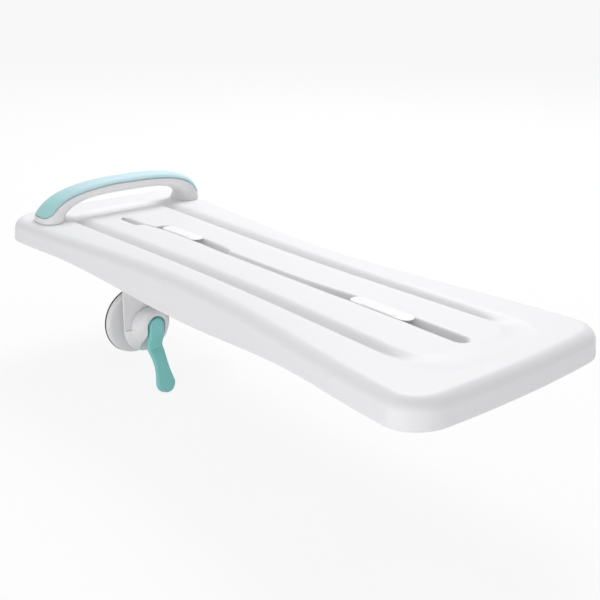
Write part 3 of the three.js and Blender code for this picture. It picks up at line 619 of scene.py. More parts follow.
OPENING_STOPS = (-255, -180, -50, -32, 290, 306)
OPENING_COUNTS = (190, 60, 40, 130, 40)
OPENING_DEPTH = 7.5
GROOVE_FLOOR = ((-49.5, 94), (-12, 4), 4.6)


def opening_line(inward, fall):
    """The opening's closed line, drawn in by a share of each lip's reach and lowered by a
    share of its fall. Sharp turns of its two edges are softened by a short average, and a
    lip is smaller where the opening is narrow."""
    x = spaced(OPENING_STOPS, OPENING_COUNTS)
    near, far = (soft_table(x, *np.array(places, float).T, EDGE_STEPS)
                 for places in (OPENING_NEAR, OPENING_FAR))
    far[0] = near[0]
    near[-1] = far[-1] = 0.0
    room = np.clip((far - near) / FULL_LIP_GAP, LEAST_LIP, 1)
    span, end = x[-1] - x[0], inward * NEAR_LIP[0]
    drawn = x[0] + end + (x - x[0]) * (span - 2 * end) / span
    near_y, far_y = near + inward * NEAR_LIP[0] * room, far - inward * FAR_LIP[0] * room
    taper = np.clip(np.minimum(x - x[0], x[-1] - x) / LIP_TAPER, 0, 1)
    far_fall = mix(NEAR_LIP[1], FAR_LIP[1], taper) * room
    near_line = np.stack([drawn, near_y, DECK - fall * NEAR_LIP[1] * room], -1)
    far_line = np.stack([drawn, far_y, DECK - fall * far_fall], -1)[::-1]
    return np.concatenate([near_line, far_line[1:-1]])


def opening_grid():
    """A flat row, the lips as quarter turns, then the upright wall down through the deck."""
    rows = [opening_line(-LIP_MARGIN, 0)]
    rows += [opening_line(np.sin(turn), 1 - np.cos(turn)) for turn in LIP_TURNS]
    rows.append(at_height(rows[-1][:, :2], DECK - OPENING_DEPTH))
    return np.stack(rows)


# %% Lines with round ends
def long_hole(x0, x1, half, radius, centre=0.0, count=12):
    """A closed line: two straight sides and four quarter-round corners, with points that
    crowd towards the corners as the cosine of equal turns."""
    turn = np.linspace(0, np.pi / 2, count)
    x = np.concatenate([x0 + radius * (1 - np.cos(turn)),
                        np.linspace(x0 + radius, x1 - radius, 3 * count)[1:-1],
                        x1 - radius * (1 - np.cos(turn[::-1]))])
    rest = np.clip(radius - np.minimum(x - x0, x1 - x), 0, radius)
    width = half - radius + np.sqrt(radius**2 - rest**2)
    near = np.stack([x, centre - width], -1)
    far = np.stack([x, centre + width], -1)[::-1]
    line = np.concatenate([near, far])
    step = np.linalg.norm(line - np.roll(line, 1, axis=0), axis=1)
    return line[step > 1e-6]


opening = opening_grid()
rim = opening_line(0, 0)[:, :2]
trough_line = rim + outward(rim) * WALL
trough_wall = np.stack([at_height(trough_line, z) for z in (DECK - WALL, DECK - OPENING_DEPTH)])
print("opening:", len(rim), "points round")

# %% [markdown]
# ## Ribs under the deck
#
# Like every large thin moulding, the board is stiffened below by ribs. They can't be seen
# from above, but they show when the board is turned over. Each rib is a thin wall whose
# upper edge stays inside the skin of the deck, lower where the ring groove passes.

# %% Where the ribs run
RIB = 2.4
RIB_BOTTOM = 10
LONG_RIB_BOTTOM = 10.5
RIB_OVERLAP = 0.5
FLOOR_OVERLAP = 0.8
RIB_POINTS = 90
CROSS_RIBS = (-355.2, -268.25, -20.35, 29.6, 77.7, 329.3)
CORNER_RIB_X = 340
CORNER_RIB_REACH = 94
LONG_RIBS = (((-358, -88), (357, -88)), ((-358, 88), (357, 88)), ((-362, 18), (361, 18)),
             ((-362, -18), (-255, -18)), ((-208, -18), (361, -18)))
UNDER_OPENING = ((-212, 309), 14)


def rib_top(x, y):
    """Height just inside the deck: it falls under the groove, by the signed distance to its
    line, under the rolled edge, and under the opening in the middle."""
    away = np.stack([x[:, None] - GROOVE_LINE[:, 0], y[:, None] - GROOVE_LINE[:, 1]], -1)
    nearest = np.argmin(np.linalg.norm(away, axis=-1), axis=1)
    each = np.arange(len(x))
    outside = np.sum(away[each, nearest] * GROOVE_OUT[nearest], axis=-1)
    groove_x, groove_y = GROOVE_LINE[nearest].T
    k = 0.5 - outside / (groove_width(groove_x) + TROUGH_MARGIN)
    section = groove_section(k, groove_x, groove_y)
    edge = np.hypot(x[:, None] - BOARD_PLAN[:, 0], y[:, None] - BOARD_PLAN[:, 1])
    inside = np.clip((edge.min(axis=1) - SHOULDER_INSET - WALL) / EDGE_RADIUS, 0, 1)
    roll = EDGE_RADIUS * quarter_fall(inside)
    (start, end), half = UNDER_OPENING
    centre = (np.abs(y) < half) & (x > start) & (x < end)
    top = DECK - WALL / 2 - np.maximum(groove_depth(groove_x) * section, roll)
    return np.where(centre, DECK - OPENING_DEPTH + RIB_OVERLAP, top)


def rib_grid(start, end, bottom=RIB_BOTTOM):
    """A thin upright wall between two places, as a tube of four-point sections."""
    start, end = np.array(start, float), np.array(end, float)
    along = (end - start) / np.linalg.norm(end - start)
    side = np.array([-along[1], along[0]]) * RIB / 2
    line = start + (end - start) * np.linspace(0, 1, RIB_POINTS)[:, None]
    top = rib_top(line[:, 0], line[:, 1])
    corners = [(-1, bottom), (1, bottom), (1, top), (-1, top)]
    return np.stack([at_height(line + side * s, z) for s, z in corners], axis=1)


def capped_tube(sections):
    """A tube through closed sections, with both of its ends drawn to their middles."""
    first, last = (end.mean(axis=1, keepdims=True).repeat(sections.shape[1], 1)
                   for end in (sections[:1], sections[-1:]))
    return np.concatenate([first, sections, last])


def board_ribs():
    """All ribs, each cut off inside the skirt."""
    grids = []
    for x in CROSS_RIBS:
        reach = float(board_half_width(np.array(float(x)))) - WALL - SHOULDER_INSET + 1
        if abs(x) > CORNER_RIB_X:
            reach = CORNER_RIB_REACH
        grids.append(rib_grid((x, -reach), (x, reach)))
    grids += [rib_grid(start, end, LONG_RIB_BOTTOM) for start, end in LONG_RIBS]
    return [capped_tube(g) for g in grids]


def groove_floor():
    """The floor of the narrow groove between the slots: a bar below the deck."""
    (x0, x1), (y0, y1), fall = GROOVE_FLOOR
    low, high = DECK - OPENING_DEPTH - FLOOR_OVERLAP, DECK - fall
    section = np.array([(y0, low), (y1, low), (y1, high), (y0, high)])
    ends = [np.column_stack([np.full(4, x), section]) for x in (x0, x1)]
    return capped_tube(np.stack(ends))


# %% The board, welded into one moulding
def board_form():
    """Shell, groove, opening and underside, joined ring to ring."""
    tubes = [np.stack(shell_rings), groove, trough, opening, trough_wall,
             np.stack([outer_skin[-1], groove[0]]), np.stack([inner_skin[-1], trough[0]]),
             *board_ribs(), groove_floor()]
    flats = [[groove[-1], opening[0]], [trough[-1], trough_wall[0]],
             [trough_wall[-1], opening[-1]]]
    return [(tube, True) for tube in tubes], flats


piece("bath_board_moulding", board_form(), finish["white moulding"], "board", "body", "board")

# %% [markdown]
# ## The arched handle
#
# The handle is a low arch, wider at its feet than at its crest. Its outer and inner lines
# are superellipses, which stand up more steeply at the feet than an ellipse does, and both
# lean a little towards the far foot. Its section is a superellipse too. The soft grip is a
# separate moulding let into the crest, with a thin dark seam all round it.

# %% The arch as a surface of a turn and an angle
HANDLE_PLACE = np.array([-298, 3, DECK + 0.3])
OUTER_ARCH = {"reach": 119.3, "height": 45.4, "side": 0.75, "crest": 0.77, "lean": 11.5}
INNER_ARCH = {"reach": 92.4, "height": 25.1, "side": 0.545, "crest": 1.07, "lean": 10.0}
SECTION_POWER = 0.78
CREST_WIDTH = 30
FOOT_WIDTH = 41
FOOT_FLARE = 2.4
FLARE_POWER = 40
GRIP_THICKNESS = 6.1
GRIP_END_HEIGHT = 7.5
GRIP_END_HALF = 18
GRIP_END_RADIUS = 10
SEAM = 1.1
BASE_DEPTH = 3.0
GRIP_LIFT = 0.35
GRIP_BED = 2.8
GRIP_ROLL = 1.6
SIDE_SCALE = 0.9
FALL_LIMITS = (-0.95, 0.999)
GRIP_START = np.arcsin((GRIP_END_HEIGHT / OUTER_ARCH["height"]) ** (1 / OUTER_ARCH["crest"]))
GRIP_STOP = np.pi - GRIP_START
TRAVEL_COUNT = 4001


def rounded(value, power):
    """The value's sign, times its size raised to a power below 1."""
    return np.sign(value) * np.abs(value) ** power


def arch_line(arch, turn):
    """A superellipse from the near foot over the crest to the far foot, with one power
    along Y and one along Z. The lean is added along Y by the sine of the turn."""
    y = -arch["reach"] * rounded(np.cos(turn), arch["side"]) + arch["lean"] * np.sin(turn)
    return np.stack([y, arch["height"] * rounded(np.sin(turn), arch["crest"])], -1)


def half_across(turn):
    """Half the handle's width: it grows towards the feet by the cube of the cosine."""
    return mix(CREST_WIDTH, FOOT_WIDTH, np.abs(np.cos(turn)) ** 3) / 2


def arch_surface(turn, angle, out=0.0):
    """A point of the arch's skin: turn runs along the arch, angle round its section, and
    out lifts the point off the skin. The feet flare by a high power of the cosine."""
    outer = arch_line(OUTER_ARCH, turn)
    inner = arch_line(INNER_ARCH, turn)
    middle = (outer + inner) / 2
    depth = (outer - inner) / 2
    thickness = np.linalg.norm(depth, axis=-1)
    out = out + FOOT_FLARE * np.abs(np.cos(turn)) ** FLARE_POWER
    lift = depth * (1 + out / thickness)[..., None]
    x = (half_across(turn) + out) * rounded(np.cos(angle), SECTION_POWER)
    yz = middle + lift * rounded(np.sin(angle), SECTION_POWER)[..., None]
    return np.concatenate([x[..., None], yz], axis=-1) + HANDLE_PLACE


# %% Where the seam of the grip runs
def travel(turn):
    """Distance run along the crest, up to each turn."""
    fine = np.linspace(0, np.pi, TRAVEL_COUNT)
    line = arch_line(OUTER_ARCH, fine)
    steps = np.linalg.norm(np.diff(line, axis=0), axis=1)
    return np.interp(turn, fine, np.concatenate([[0], np.cumsum(steps)]))


def from_ends(turn):
    """Distance along the crest from the nearer end of the grip."""
    return np.minimum(travel(turn) - travel(GRIP_START), travel(GRIP_STOP) - travel(turn))


def seam_angle(turn, widen=0.0):
    """The section angle, from the crest down, at which the seam runs: where the section
    falls by the grip's thickness, or where the round end of the grip cuts it off. It is
    0 beyond the ends of the grip."""
    along = from_ends(turn) + widen
    outer = arch_line(OUTER_ARCH, turn)
    inner = arch_line(INNER_ARCH, turn)
    half_depth = np.linalg.norm(outer - inner, axis=-1) / 2
    fall = np.clip(1 - (GRIP_THICKNESS + widen) / half_depth, *FALL_LIMITS)
    by_depth = np.arccos(rounded(fall, 1 / SECTION_POWER))
    rest = np.clip(GRIP_END_RADIUS - along, 0, GRIP_END_RADIUS)
    half = GRIP_END_HALF - GRIP_END_RADIUS + np.sqrt(GRIP_END_RADIUS**2 - rest**2)
    half = half + np.clip(along - GRIP_END_RADIUS, 0, None) + widen
    across = half_across(turn)
    by_end = np.arcsin(np.clip(half / across, 0, 1) ** (1 / SECTION_POWER))
    by_end = np.where(half >= across, np.pi, by_end)
    return np.where(along < 0, 0.0, np.minimum(by_depth, by_end))


# %% [markdown]
# The two mouldings share that one seam. The white base is a full tube that steps down
# under the grip, so that the step is the outer wall of the seam. The grip is a pillow
# whose outer skin rolls down at its border and whose lower skin lies inside the base.

# %% The base and the grip
SEAM_SPAN = (0.92, 1.08)
SEAM_ROWS = (0.055, 0.32)
BASE_COUNTS = (16, 90, 110, 90, 16)
TOP_COUNTS = (34, 12)
BELOW_COUNT = 22
STEP_RUN = 0.5
GUIDE_START = 0.3
LEAST_GUIDE = 0.9
GRIP_MARGIN = 1e-4
GRIP_COUNTS = (240, 61)


def crowded(low, high, count):
    """Values from low to high, crowded towards both: the cosine of equal turns."""
    return mix(low, high, (1 - np.cos(np.pi * np.linspace(0, 1, count))) / 2)


def handle_base_grid():
    """The arch's tube. Below the grip it lies deeper, and its rows and columns crowd
    towards the seam so that the step stays crisp."""
    before, after = SEAM_ROWS
    turn = spaced((0, GRIP_START - before, GRIP_START + after, GRIP_STOP - after,
                   GRIP_STOP + before, np.pi), BASE_COUNTS)
    inner = np.clip(turn, GRIP_START + GUIDE_START, GRIP_STOP - GUIDE_START)
    guide = np.maximum(seam_angle(inner), LEAST_GUIDE)[:, None]
    top = guide * spaced((0, *SEAM_SPAN), TOP_COUNTS)[:-1]
    below = mix(guide * SEAM_SPAN[1], np.pi, np.linspace(0, 1, BELOW_COUNT)[None, :])
    half = np.concatenate([top, below], axis=1)
    down = np.concatenate([half, -half[:, ::-1][:, 1:-1]], axis=1)
    turns = np.broadcast_to(turn[:, None], down.shape)
    edge = seam_angle(turn, SEAM)[:, None]
    step = (edge - np.abs(down)) * half_across(turns) / STEP_RUN + 0.5
    return arch_surface(turns, np.pi / 2 - down, -BASE_DEPTH * (smoothstep(step) * (edge > 0)))


def grip_skins():
    """The grip's two skins: rows along the arch, each as wide as the seam leaves it. The
    border of the outer one rolls down by a quarter circle."""
    turn = crowded(GRIP_START + GRIP_MARGIN, GRIP_STOP - GRIP_MARGIN, GRIP_COUNTS[0])
    edge = seam_angle(turn)[:, None]
    down = edge * np.sin(np.pi / 2 * np.linspace(-1, 1, GRIP_COUNTS[1]))
    turns = np.broadcast_to(turn[:, None], down.shape)
    from_side = (edge - np.abs(down)) * half_across(turns) * SIDE_SCALE
    near = np.clip(np.minimum(from_side, from_ends(turns)) / GRIP_ROLL, 0, 1)
    roll = GRIP_ROLL * quarter_fall(near)
    return [arch_surface(turns, np.pi / 2 - down, lift)
            for lift in (GRIP_LIFT - roll, np.full_like(roll, -GRIP_BED))]


def pillow(top, bottom):
    """A form from two grids of the same size that are joined all round."""
    def rim(grid):
        return np.concatenate([grid[0, :-1], grid[:-1, -1], grid[-1, :0:-1], grid[:0:-1, 0]])
    return [(top, False), (bottom, False), (np.stack([rim(top), rim(bottom)]), True)], []


piece("handle_base_moulding", closed(handle_base_grid()), finish["white moulding"], "board",
      "body", "handle_base")
piece("handle_soft_grip", pillow(*grip_skins()), finish["soft blue grip"], "board", "grip",
      "handle_grip")

# %% [markdown]
# ## Caps and rest pads
#
# Both caps are lozenges with a rolled edge. Each rides in its own slot, on a stem that
# drops through the deck. The rest pads below the ends are soft rubber blocks with round
# corners. All of them are one outline, drawn in and lifted row by row.

# %% Blocks with rolled edges
def block_grid(line, low, high, edge_low, edge_high, steps=6):
    """A block over a plan line: quarter-round edges below and above. Returns its rows."""
    out = outward(line)
    rows = []
    for t in np.linspace(0, np.pi / 2, steps):
        rows.append((edge_low * (1 - np.sin(t)), low + edge_low * (1 - np.cos(t))))
    for t in np.linspace(np.pi / 2, 0, steps):
        rows.append((edge_high * (1 - np.sin(t)), high - edge_high * (1 - np.cos(t))))
    return np.stack([at_height(line - out * k, z) for k, z in rows])


def block(line, low, high, edge_low, edge_high):
    """A closed block over a plan line, with rolled edges."""
    return closed(block_grid(line, low, high, edge_low, edge_high))


# %% The caps and the pads
LEFT_X = -144.5
RIGHT_X = 198.0
CAPS = (("left", LEFT_X, 74, 38), ("right", RIGHT_X - 1.5, 80, 44))
CAP_TOP = DECK + 0.7
CAP_UNDER = DECK + 0.05
CAP_HALF = 8.9
CAP_CORNER = CAP_HALF - 0.2
CAP_EDGES = (0.05, 0.4)
STEM_EDGES = (0.3, 0.2)
CAP_Y = 0.2
STEM_BOTTOM = 8.8
STEM = {"half": 3.5, "radius": 3, "centre": -3.9}
REST_PAD_HALF = 12
REST_PAD_CORNER = 8
REST_PAD_TOP = 5.7
REST_PAD_EDGES = (1.2, 0.6)


def cap_form(centre, length, stem_length):
    """A lozenge cap on its stem."""
    cap = long_hole(centre - length / 2, centre + length / 2, CAP_HALF, CAP_CORNER, CAP_Y,
                    count=20)
    stem = long_hole(centre - stem_length / 2, centre + stem_length / 2, **STEM)
    return together(block(cap, CAP_UNDER, CAP_TOP, *CAP_EDGES),
                    block(stem, STEM_BOTTOM, CAP_UNDER + 1, *STEM_EDGES))


for side, *sizes in CAPS:
    piece(f"{side}_cap_lozenge", cap_form(*sizes), finish["white cap moulding"],
          f"{side}_slider", "body", f"{side}_cap")

for name in (f"{end}_{side}_rest_pad" for end in ("left", "right") for side in ("near", "far")):
    low, high = (np.array(corner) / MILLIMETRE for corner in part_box(name))
    line = long_hole(low[0], high[0], REST_PAD_HALF, REST_PAD_CORNER, (low[1] + high[1]) / 2)
    piece(f"{name}_rubber", block(line, 0, REST_PAD_TOP, *REST_PAD_EDGES),
          finish["black pad rubber"], "board", "rubber", name)

# %% [markdown]
# ## The left bracket
#
# The bracket hangs below the board: a hollow cross bar, and at each end a flat plate with
# a round lower end. The near plate carries the lever in a round boss. Above the middle
# the boss is small and stands on the plate with a slight undercut; below it flares to the
# full width of the plate as a smooth chin. One surface makes both: rings round X whose
# root changes with the angle and whose middle rises towards the front, cut off where the
# recess of the lever begins.

# %% Sizes of the bracket
lever_joint = next(joint for joint in frame["joints"] if joint["name"] == "lever_turn")
LEVER_AXIS = np.array(lever_joint["pos_m"]) / MILLIMETRE
CLAMP_Y = -LEVER_AXIS[1]
HOUSING_Z = -78.0
HOUSING_RADIUS = 32.5
FRONT_PROFILE = ((22.9, 15.5), (20.8, 20.0), (18.2, 23.6), (15.4, 25.8), (12.5, 26.5), (0, 26.5))
BOSS_PROFILE = ((20.6, 3.6), (21.4, 5.2), (24.6, 6.4), (25.0, 8.4), (24.4, 11.0), *FRONT_PROFILE)
CHIN_PROFILE = ((32.5, 3.6), (31.8, 5.0), (29.6, 6.7), (27.0, 8.7), (24.7, 11.4), *FRONT_PROFILE)
PROFILE_STEPS = np.linspace(-0.04, 0.04, 9)
CHIN_BLEND = 24
FRONT_RISE = 7.0
RISE_START = 4
RISE_RUN = 22
RECESS_RADIUS = 12.5
RECESS_FLOOR = 4.0
RECESS_LIP = 0.9
RECESS_ROWS = np.linspace(0.25, 1, 4)
SEARCH_COUNT = 900
BOSS_COUNTS = (401, 60)
PLATE = (2.3, 4.5)
PLATE_TOP = -8.5
PLATE_EDGE = 0.5
BAR_TOP = 8.5
BAR_BOTTOM = -12.0
BAR_HALF = 23
BAR_WALL = 3.5
BAR_OVERHANG = 0.6
BAR_CORNERS = (6, 4.25)
BAR_EDGE = 1.5
BAR_LOW_EDGES = (0.5, 0.0)
PLUNGER_Z = -75.0
GUIDE = ((0, 3.0), (14.5, 3.0), (14.5, -7.2), (13.7, -8), (6.4, -8), (6.4, -6), (0, -6))
SLEEVE = ((0, 0.8), (16, 0.8), (15.6, 10.2), (14.8, 11), (10.9, 11), (10.2, 10.3), (10.2, 4.2),
          (0, 4.2))

# %% The boss with its recess
def inside_recess(y, z):
    """How deep a place lies inside the recess, in millimetres: a circle about the lever's
    axis above, two straight walls below."""
    rise = np.clip(z - LEVER_AXIS[2], 0, None)
    return RECESS_RADIUS - np.hypot(y, rise)


def boss_surface(theta, share):
    """Places on the boss: share runs from the root to the middle of the front. Radius and
    place along X come from two tables, the boss above and the chin below, and each ring's
    middle rises by a smooth step of its place along X."""
    rows = np.arange(len(BOSS_PROFILE)) / (len(BOSS_PROFILE) - 1)
    below = smoothstep(-np.sin(theta) * CHIN_BLEND + 0.5)
    r, x = (mix(*(soft_table(share, rows, column, PROFILE_STEPS) for column in columns), below)
            for columns in zip(zip(*BOSS_PROFILE), zip(*CHIN_PROFILE)))
    rise = FRONT_RISE * smoothstep((x - RISE_START) / RISE_RUN)
    return np.stack([x, r * np.cos(theta), HOUSING_Z + rise + r * np.sin(theta)], axis=-1)


def boss_grid():
    """The boss from its root to the recess, then the recess wall down to its floor."""
    low = np.arccos(RECESS_RADIUS / HOUSING_RADIUS)
    theta = np.linspace(-low, np.pi + low, BOSS_COUNTS[0])[:, None]
    path = boss_surface(theta, np.linspace(0, 1, SEARCH_COUNT)[None, :])
    depth = inside_recess(path[..., 1], path[..., 2])
    first = np.clip(np.argmax(depth > 0, axis=1), 1, None)
    each = np.arange(len(theta))
    before, after = depth[each, first - 1], depth[each, first]
    between = np.clip(-before / np.maximum(after - before, 1e-9), 0, 1)
    stop = (first - 1 + between) / (SEARCH_COUNT - 1)
    front = boss_surface(theta, stop[:, None] * np.linspace(0, 1, BOSS_COUNTS[1])[None, :])
    lip = np.clip(-inside_recess(front[..., 1], front[..., 2]) / RECESS_LIP, 0, 1)
    front[..., 0] -= RECESS_LIP * quarter_fall(lip)
    wall = front[:, -1:].repeat(len(RECESS_ROWS), axis=1)
    floor = np.minimum(RECESS_FLOOR, wall[..., 0])
    wall[..., 0] = mix(wall[..., 0], floor, RECESS_ROWS[None, :])
    return np.concatenate([front, wall], axis=1)


# %% Plates and turned bodies
def tombstone_line(radius, centre, top, arc_count=60, side_count=20):
    """A closed line in Y and Z: straight sides that end below in a half circle."""
    t = np.linspace(np.pi, 2 * np.pi, arc_count)
    arc = np.stack([radius * np.cos(t), centre + radius * np.sin(t)], -1)
    down = np.linspace(top, centre, side_count)[:-1]
    side = np.full(len(down), radius)
    return np.concatenate([np.stack([-side, down], -1), arc, np.stack([side, down[::-1]], -1)])


def along_x(grid):
    """A block built upwards over Y and Z, laid down so that its height runs along X."""
    return np.stack([grid[..., 2], grid[..., 0], grid[..., 1]], axis=-1)


def plate_block(line, x0, x1, edge, steps=5):
    """A flat plate over a line in Y and Z, from x0 to x1, with rolled edges."""
    return closed(along_x(block_grid(line, x0, x1, edge, edge, steps)))


def turned(pairs, z, count=96):
    """A closed body turned round X at a height, from pairs of radius and place on X."""
    profile = np.array(pairs, float)
    t = np.linspace(0, 2 * np.pi, count, endpoint=False)
    y = profile[:, :1] * np.cos(t)
    x = np.repeat(profile[:, 1:], count, axis=1)
    return [(np.stack([x, y, z + profile[:, :1] * np.sin(t)], axis=-1), True)], []


# %% The cross bar and the whole bracket
def bar_form():
    """A hollow bar, open below: an outer and an inner skin joined at the lower edge."""
    reach = CLAMP_Y + HOUSING_RADIUS + BAR_OVERHANG
    outer, inner = (
        block_grid(long_hole(wall - BAR_HALF, BAR_HALF - wall, reach - wall, corner),
                   BAR_BOTTOM, BAR_TOP - wall, low_edge, BAR_EDGE)
        for wall, corner, low_edge in zip((0, BAR_WALL), BAR_CORNERS, BAR_LOW_EDGES))
    return [(outer, True), (inner, True)], [[outer[0], inner[0]], [outer[-1]], [inner[-1]]]


plate = plate_block(tombstone_line(HOUSING_RADIUS, HOUSING_Z, PLATE_TOP), *PLATE, PLATE_EDGE)
housing = together(plate, turned(GUIDE, PLUNGER_Z))
boss = [(boss_grid(), False)], []
bracket = together(bar_form(), moved(housing, 0, -CLAMP_Y), moved(housing, 0, CLAMP_Y),
                   moved(boss, 0, -CLAMP_Y), moved(turned(SLEEVE, PLUNGER_Z), 0, CLAMP_Y))
piece("left_bracket_moulding", moved(bracket, LEFT_X, 0), finish["bracket moulding"],
      "left_slider", "body", "left_bracket")

# %% [markdown]
# ## The lever
#
# The lever is a bent plate: a round head that turns in the recess, a straight part, a
# bend, a narrower neck and a round paddle. Its section is a rectangle with soft corners
# that is carried down a bent line. The line and the width are short tables of measured
# places, softened by an average, so the bends stay smooth.

# %% The lever as a carried section
LEVER_HALF = 9.9
LEVER_FRONT = 8.8
LEVER_THICKNESS = 6.5
LEVER_PLACES = ((8.8, 0), (8.4, -8), (7.2, -16), (4.8, -22.5), (2.7, -27.8), (8.2, -33.6),
                (13.2, -40.5), (17.2, -47.5), (20.6, -55), (23.4, -62.5), (26.2, -70),
                (29.6, -80.5))
LEVER_WIDTHS = ((0, 9.9), (-20, 10.1), (-28, 10.4), (-35, 9.4), (-43, 8.7), (-51, 8.9),
                (-58, 9.9), (-64, 11.6), (-69, 12.5))
PADDLE_REACH = 11.5
CROWN_DEPTH = 3.2
BEND_REACH = 3.6
WIDTH_REACH = 5.0
LEVER_POWER = 0.32
END_ROWS = 4
END_SHARE = 0.35
LEVER_COUNT = 108
WIDTH_COUNT = 80
CAM = ((0, 4.6), (0.5, 10.4), (1, 14.4), (1.28, 15.4), (1.5, 16.0), (2, 4.6))
CAM_FLAT = 4.6
CAM_HALF = 9.8
CAM_EDGE = 0.8
CAM_COUNT = 120
LEAST_COSINE = 0.3
LEAST_HALF = 0.05


def softened(places, reach, count, shift_count=15):
    """A line through a few places: straight runs, averaged over a sliding length. The two
    end places stay where they are."""
    places = np.array(places, float)
    steps = np.linalg.norm(np.diff(places, axis=0), axis=1)
    gone = np.concatenate([[0], np.cumsum(steps)])
    t = np.linspace(0, gone[-1], count)
    span = np.minimum(reach, np.minimum(t, gone[-1] - t))
    shifts = span * np.linspace(-1, 1, shift_count)[:, None]
    return np.stack([soft_table(t, gone, column, shifts) for column in places.T], -1)


def lever_front_line(count):
    """The front of the lever in X and Z, from the top of the head to the tip: a quarter
    ellipse over the crown, then the softened line of the measured places."""
    turn = np.pi / 2 * np.linspace(1, 0, count // 3)
    crown = np.stack([LEVER_FRONT - CROWN_DEPTH * (1 - np.cos(turn)),
                      LEVER_HALF * np.sin(turn)], -1)
    return np.concatenate([crown, softened(LEVER_PLACES, BEND_REACH, count)[1:]])


def lever_half_width(z):
    """Half the lever's width by height: head circle, straight bar, neck, paddle ellipse."""
    height, half = softened(LEVER_WIDTHS, WIDTH_REACH, WIDTH_COUNT).T
    head = np.sqrt(np.clip(LEVER_HALF**2 - np.clip(z, 0, None) ** 2, 0, None))
    below = (height[-1] - z) / PADDLE_REACH
    paddle = half[-1] * np.sqrt(np.clip(1 - np.clip(below, 0, 1) ** 2, 0, None))
    bar = np.interp(-z, -height, half)
    return np.where(z > 0, head, np.where(z > height[-1], bar, paddle))


def carried_section(line, half_width, thickness, corners=40):
    """A rounded rectangle, as a superellipse, carried down a line in X and Z. The line is
    the middle of its front face, and the thickness goes back square to the line."""
    along = np.gradient(line, axis=0)
    along /= np.linalg.norm(along, axis=1)[:, None]
    back = np.stack([along[:, 1], -along[:, 0]], -1)
    angle = np.linspace(0, 2 * np.pi, corners, endpoint=False)
    across = rounded(np.cos(angle), LEVER_POWER)
    depth = (1 - rounded(np.sin(angle), LEVER_POWER)) / 2
    y = half_width[:, None] * across
    xz = line[:, None, :] + back[:, None, :] * (thickness[:, None] * depth)[..., None]
    return np.stack([xz[..., 0], y, xz[..., 1]], axis=-1)


def lever_plate():
    """The bent plate. A few rows at each end are thinner, so that both ends are round."""
    line = lever_front_line(LEVER_COUNT)
    half = np.maximum(lever_half_width(line[:, 1]), LEAST_HALF)
    row = np.arange(len(line))
    ends = np.minimum(row / END_ROWS, (len(line) - 1 - row) / END_ROWS)
    thickness = LEVER_THICKNESS * np.clip(mix(END_SHARE, 1, ends), END_SHARE, 1)
    return [(capped_tube(carried_section(line, half, thickness)), True)], []


def cam_form():
    """The cam: a disc whose reach falls from 14.4 mm to 10.4 mm over a quarter turn. Its
    front is cut off flat where the head begins."""
    angle = np.linspace(0, 2 * np.pi, CAM_COUNT, endpoint=False)
    turns, reaches = np.array(CAM).T
    cut = CAM_FLAT / np.maximum(np.cos(angle), LEAST_COSINE)
    reach = np.interp(angle, turns * np.pi, reaches)
    reach = np.where(np.cos(angle) > 0, np.minimum(reach, cut), reach)
    line = np.stack([reach * np.cos(angle), reach * np.sin(angle)], -1)
    grid = block_grid(line, -CAM_HALF, CAM_HALF, CAM_EDGE, CAM_EDGE)
    return closed(np.stack([grid[..., 0], -grid[..., 2], grid[..., 1]], axis=-1))


piece("teal_cam_lever", moved(together(lever_plate(), cam_form()), *LEVER_AXIS),
      finish["teal lever moulding"], "lever", "lever", "lever")

# %% [markdown]
# ## The pads
#
# Each pad is a shallow saucer of white resin with a thick black rubber face. Both are
# turned bodies: a profile of radius against X, carried once round. The saucer has a thick
# round rim, a shallow dome and a plunger, and the face is just wider than the saucer. A
# flat bar with two eyes links the plungers.

# %% Saucers, rubber faces and their link
PAD_Z = -77.5
SAUCER = ((0, -24.8), (40.4, -24.8), (41.6, -24.6), (42.2, -24.0), (42.4, -22.8),
          (42.4, -21.0), (42.1, -19.6), (41.3, -18.4), (40.0, -17.6), (38.0, -17.1),
          (35.0, -16.7), (30.0, -16.4), (24.0, -16.3), (17.0, -16.4), (13.0, -16.5),
          (12.0, -16.5), (0, -16.5))
PLUNGER = ((0, -16.8), (6, -16.8), (6, 3.4), (5.3, 4.1), (0, 4.1))
PAD_FACE = ((0, -27.5), (36.0, -27.5), (38.4, -27.4), (40.6, -27.0), (41.9, -26.3),
            (42.8, -25.2), (43.0, -24.2), (42.8, -23.4), (42.2, -23.2), (0, -24.6))
EYE = ((6.15, -16.2), (9.5, -16.2), (10, -15.7), (10, -13.3), (9.5, -12.8), (6.15, -12.8),
       (6.15, -16.2))
LINK = (-16.2, -12.8)
LINK_HALF = 5
LINK_EDGE = 0.5

saucer = together(turned(SAUCER, PAD_Z, 144), turned(PLUNGER, PLUNGER_Z, 40))
face = turned(PAD_FACE, PAD_Z, 144)
for side, y in (("near", -CLAMP_Y), ("far", CLAMP_Y)):
    piece(f"{side}_pad_saucer", moved(saucer, LEFT_X, y), finish["bracket moulding"],
          "pads", "body", f"{side}_pad_carrier")
    piece(f"{side}_pad_face", moved(face, LEFT_X, y), finish["black pad rubber"],
          "pads", "rubber", f"{side}_pad_rubber")

link_bar = plate_block(long_hole(-CLAMP_Y, CLAMP_Y, LINK_HALF, LINK_EDGE), *LINK, LINK_EDGE, 6)
eyes = [moved(turned(EYE, PLUNGER_Z, 60), 0, y) for y in (-CLAMP_Y, CLAMP_Y)]
link = together(moved(link_bar, 0, 0, PLUNGER_Z), *eyes)
piece("pad_link_bar", moved(link, LEFT_X, 0), finish["bracket moulding"], "pads", "body",
      "pad_link")

# %% [markdown]
# ## The right bracket
#
# The right bracket is plainer: a short bar under its slot and one leg with a round lower
# end, with a black buffer on the face that meets the wall of the bath.

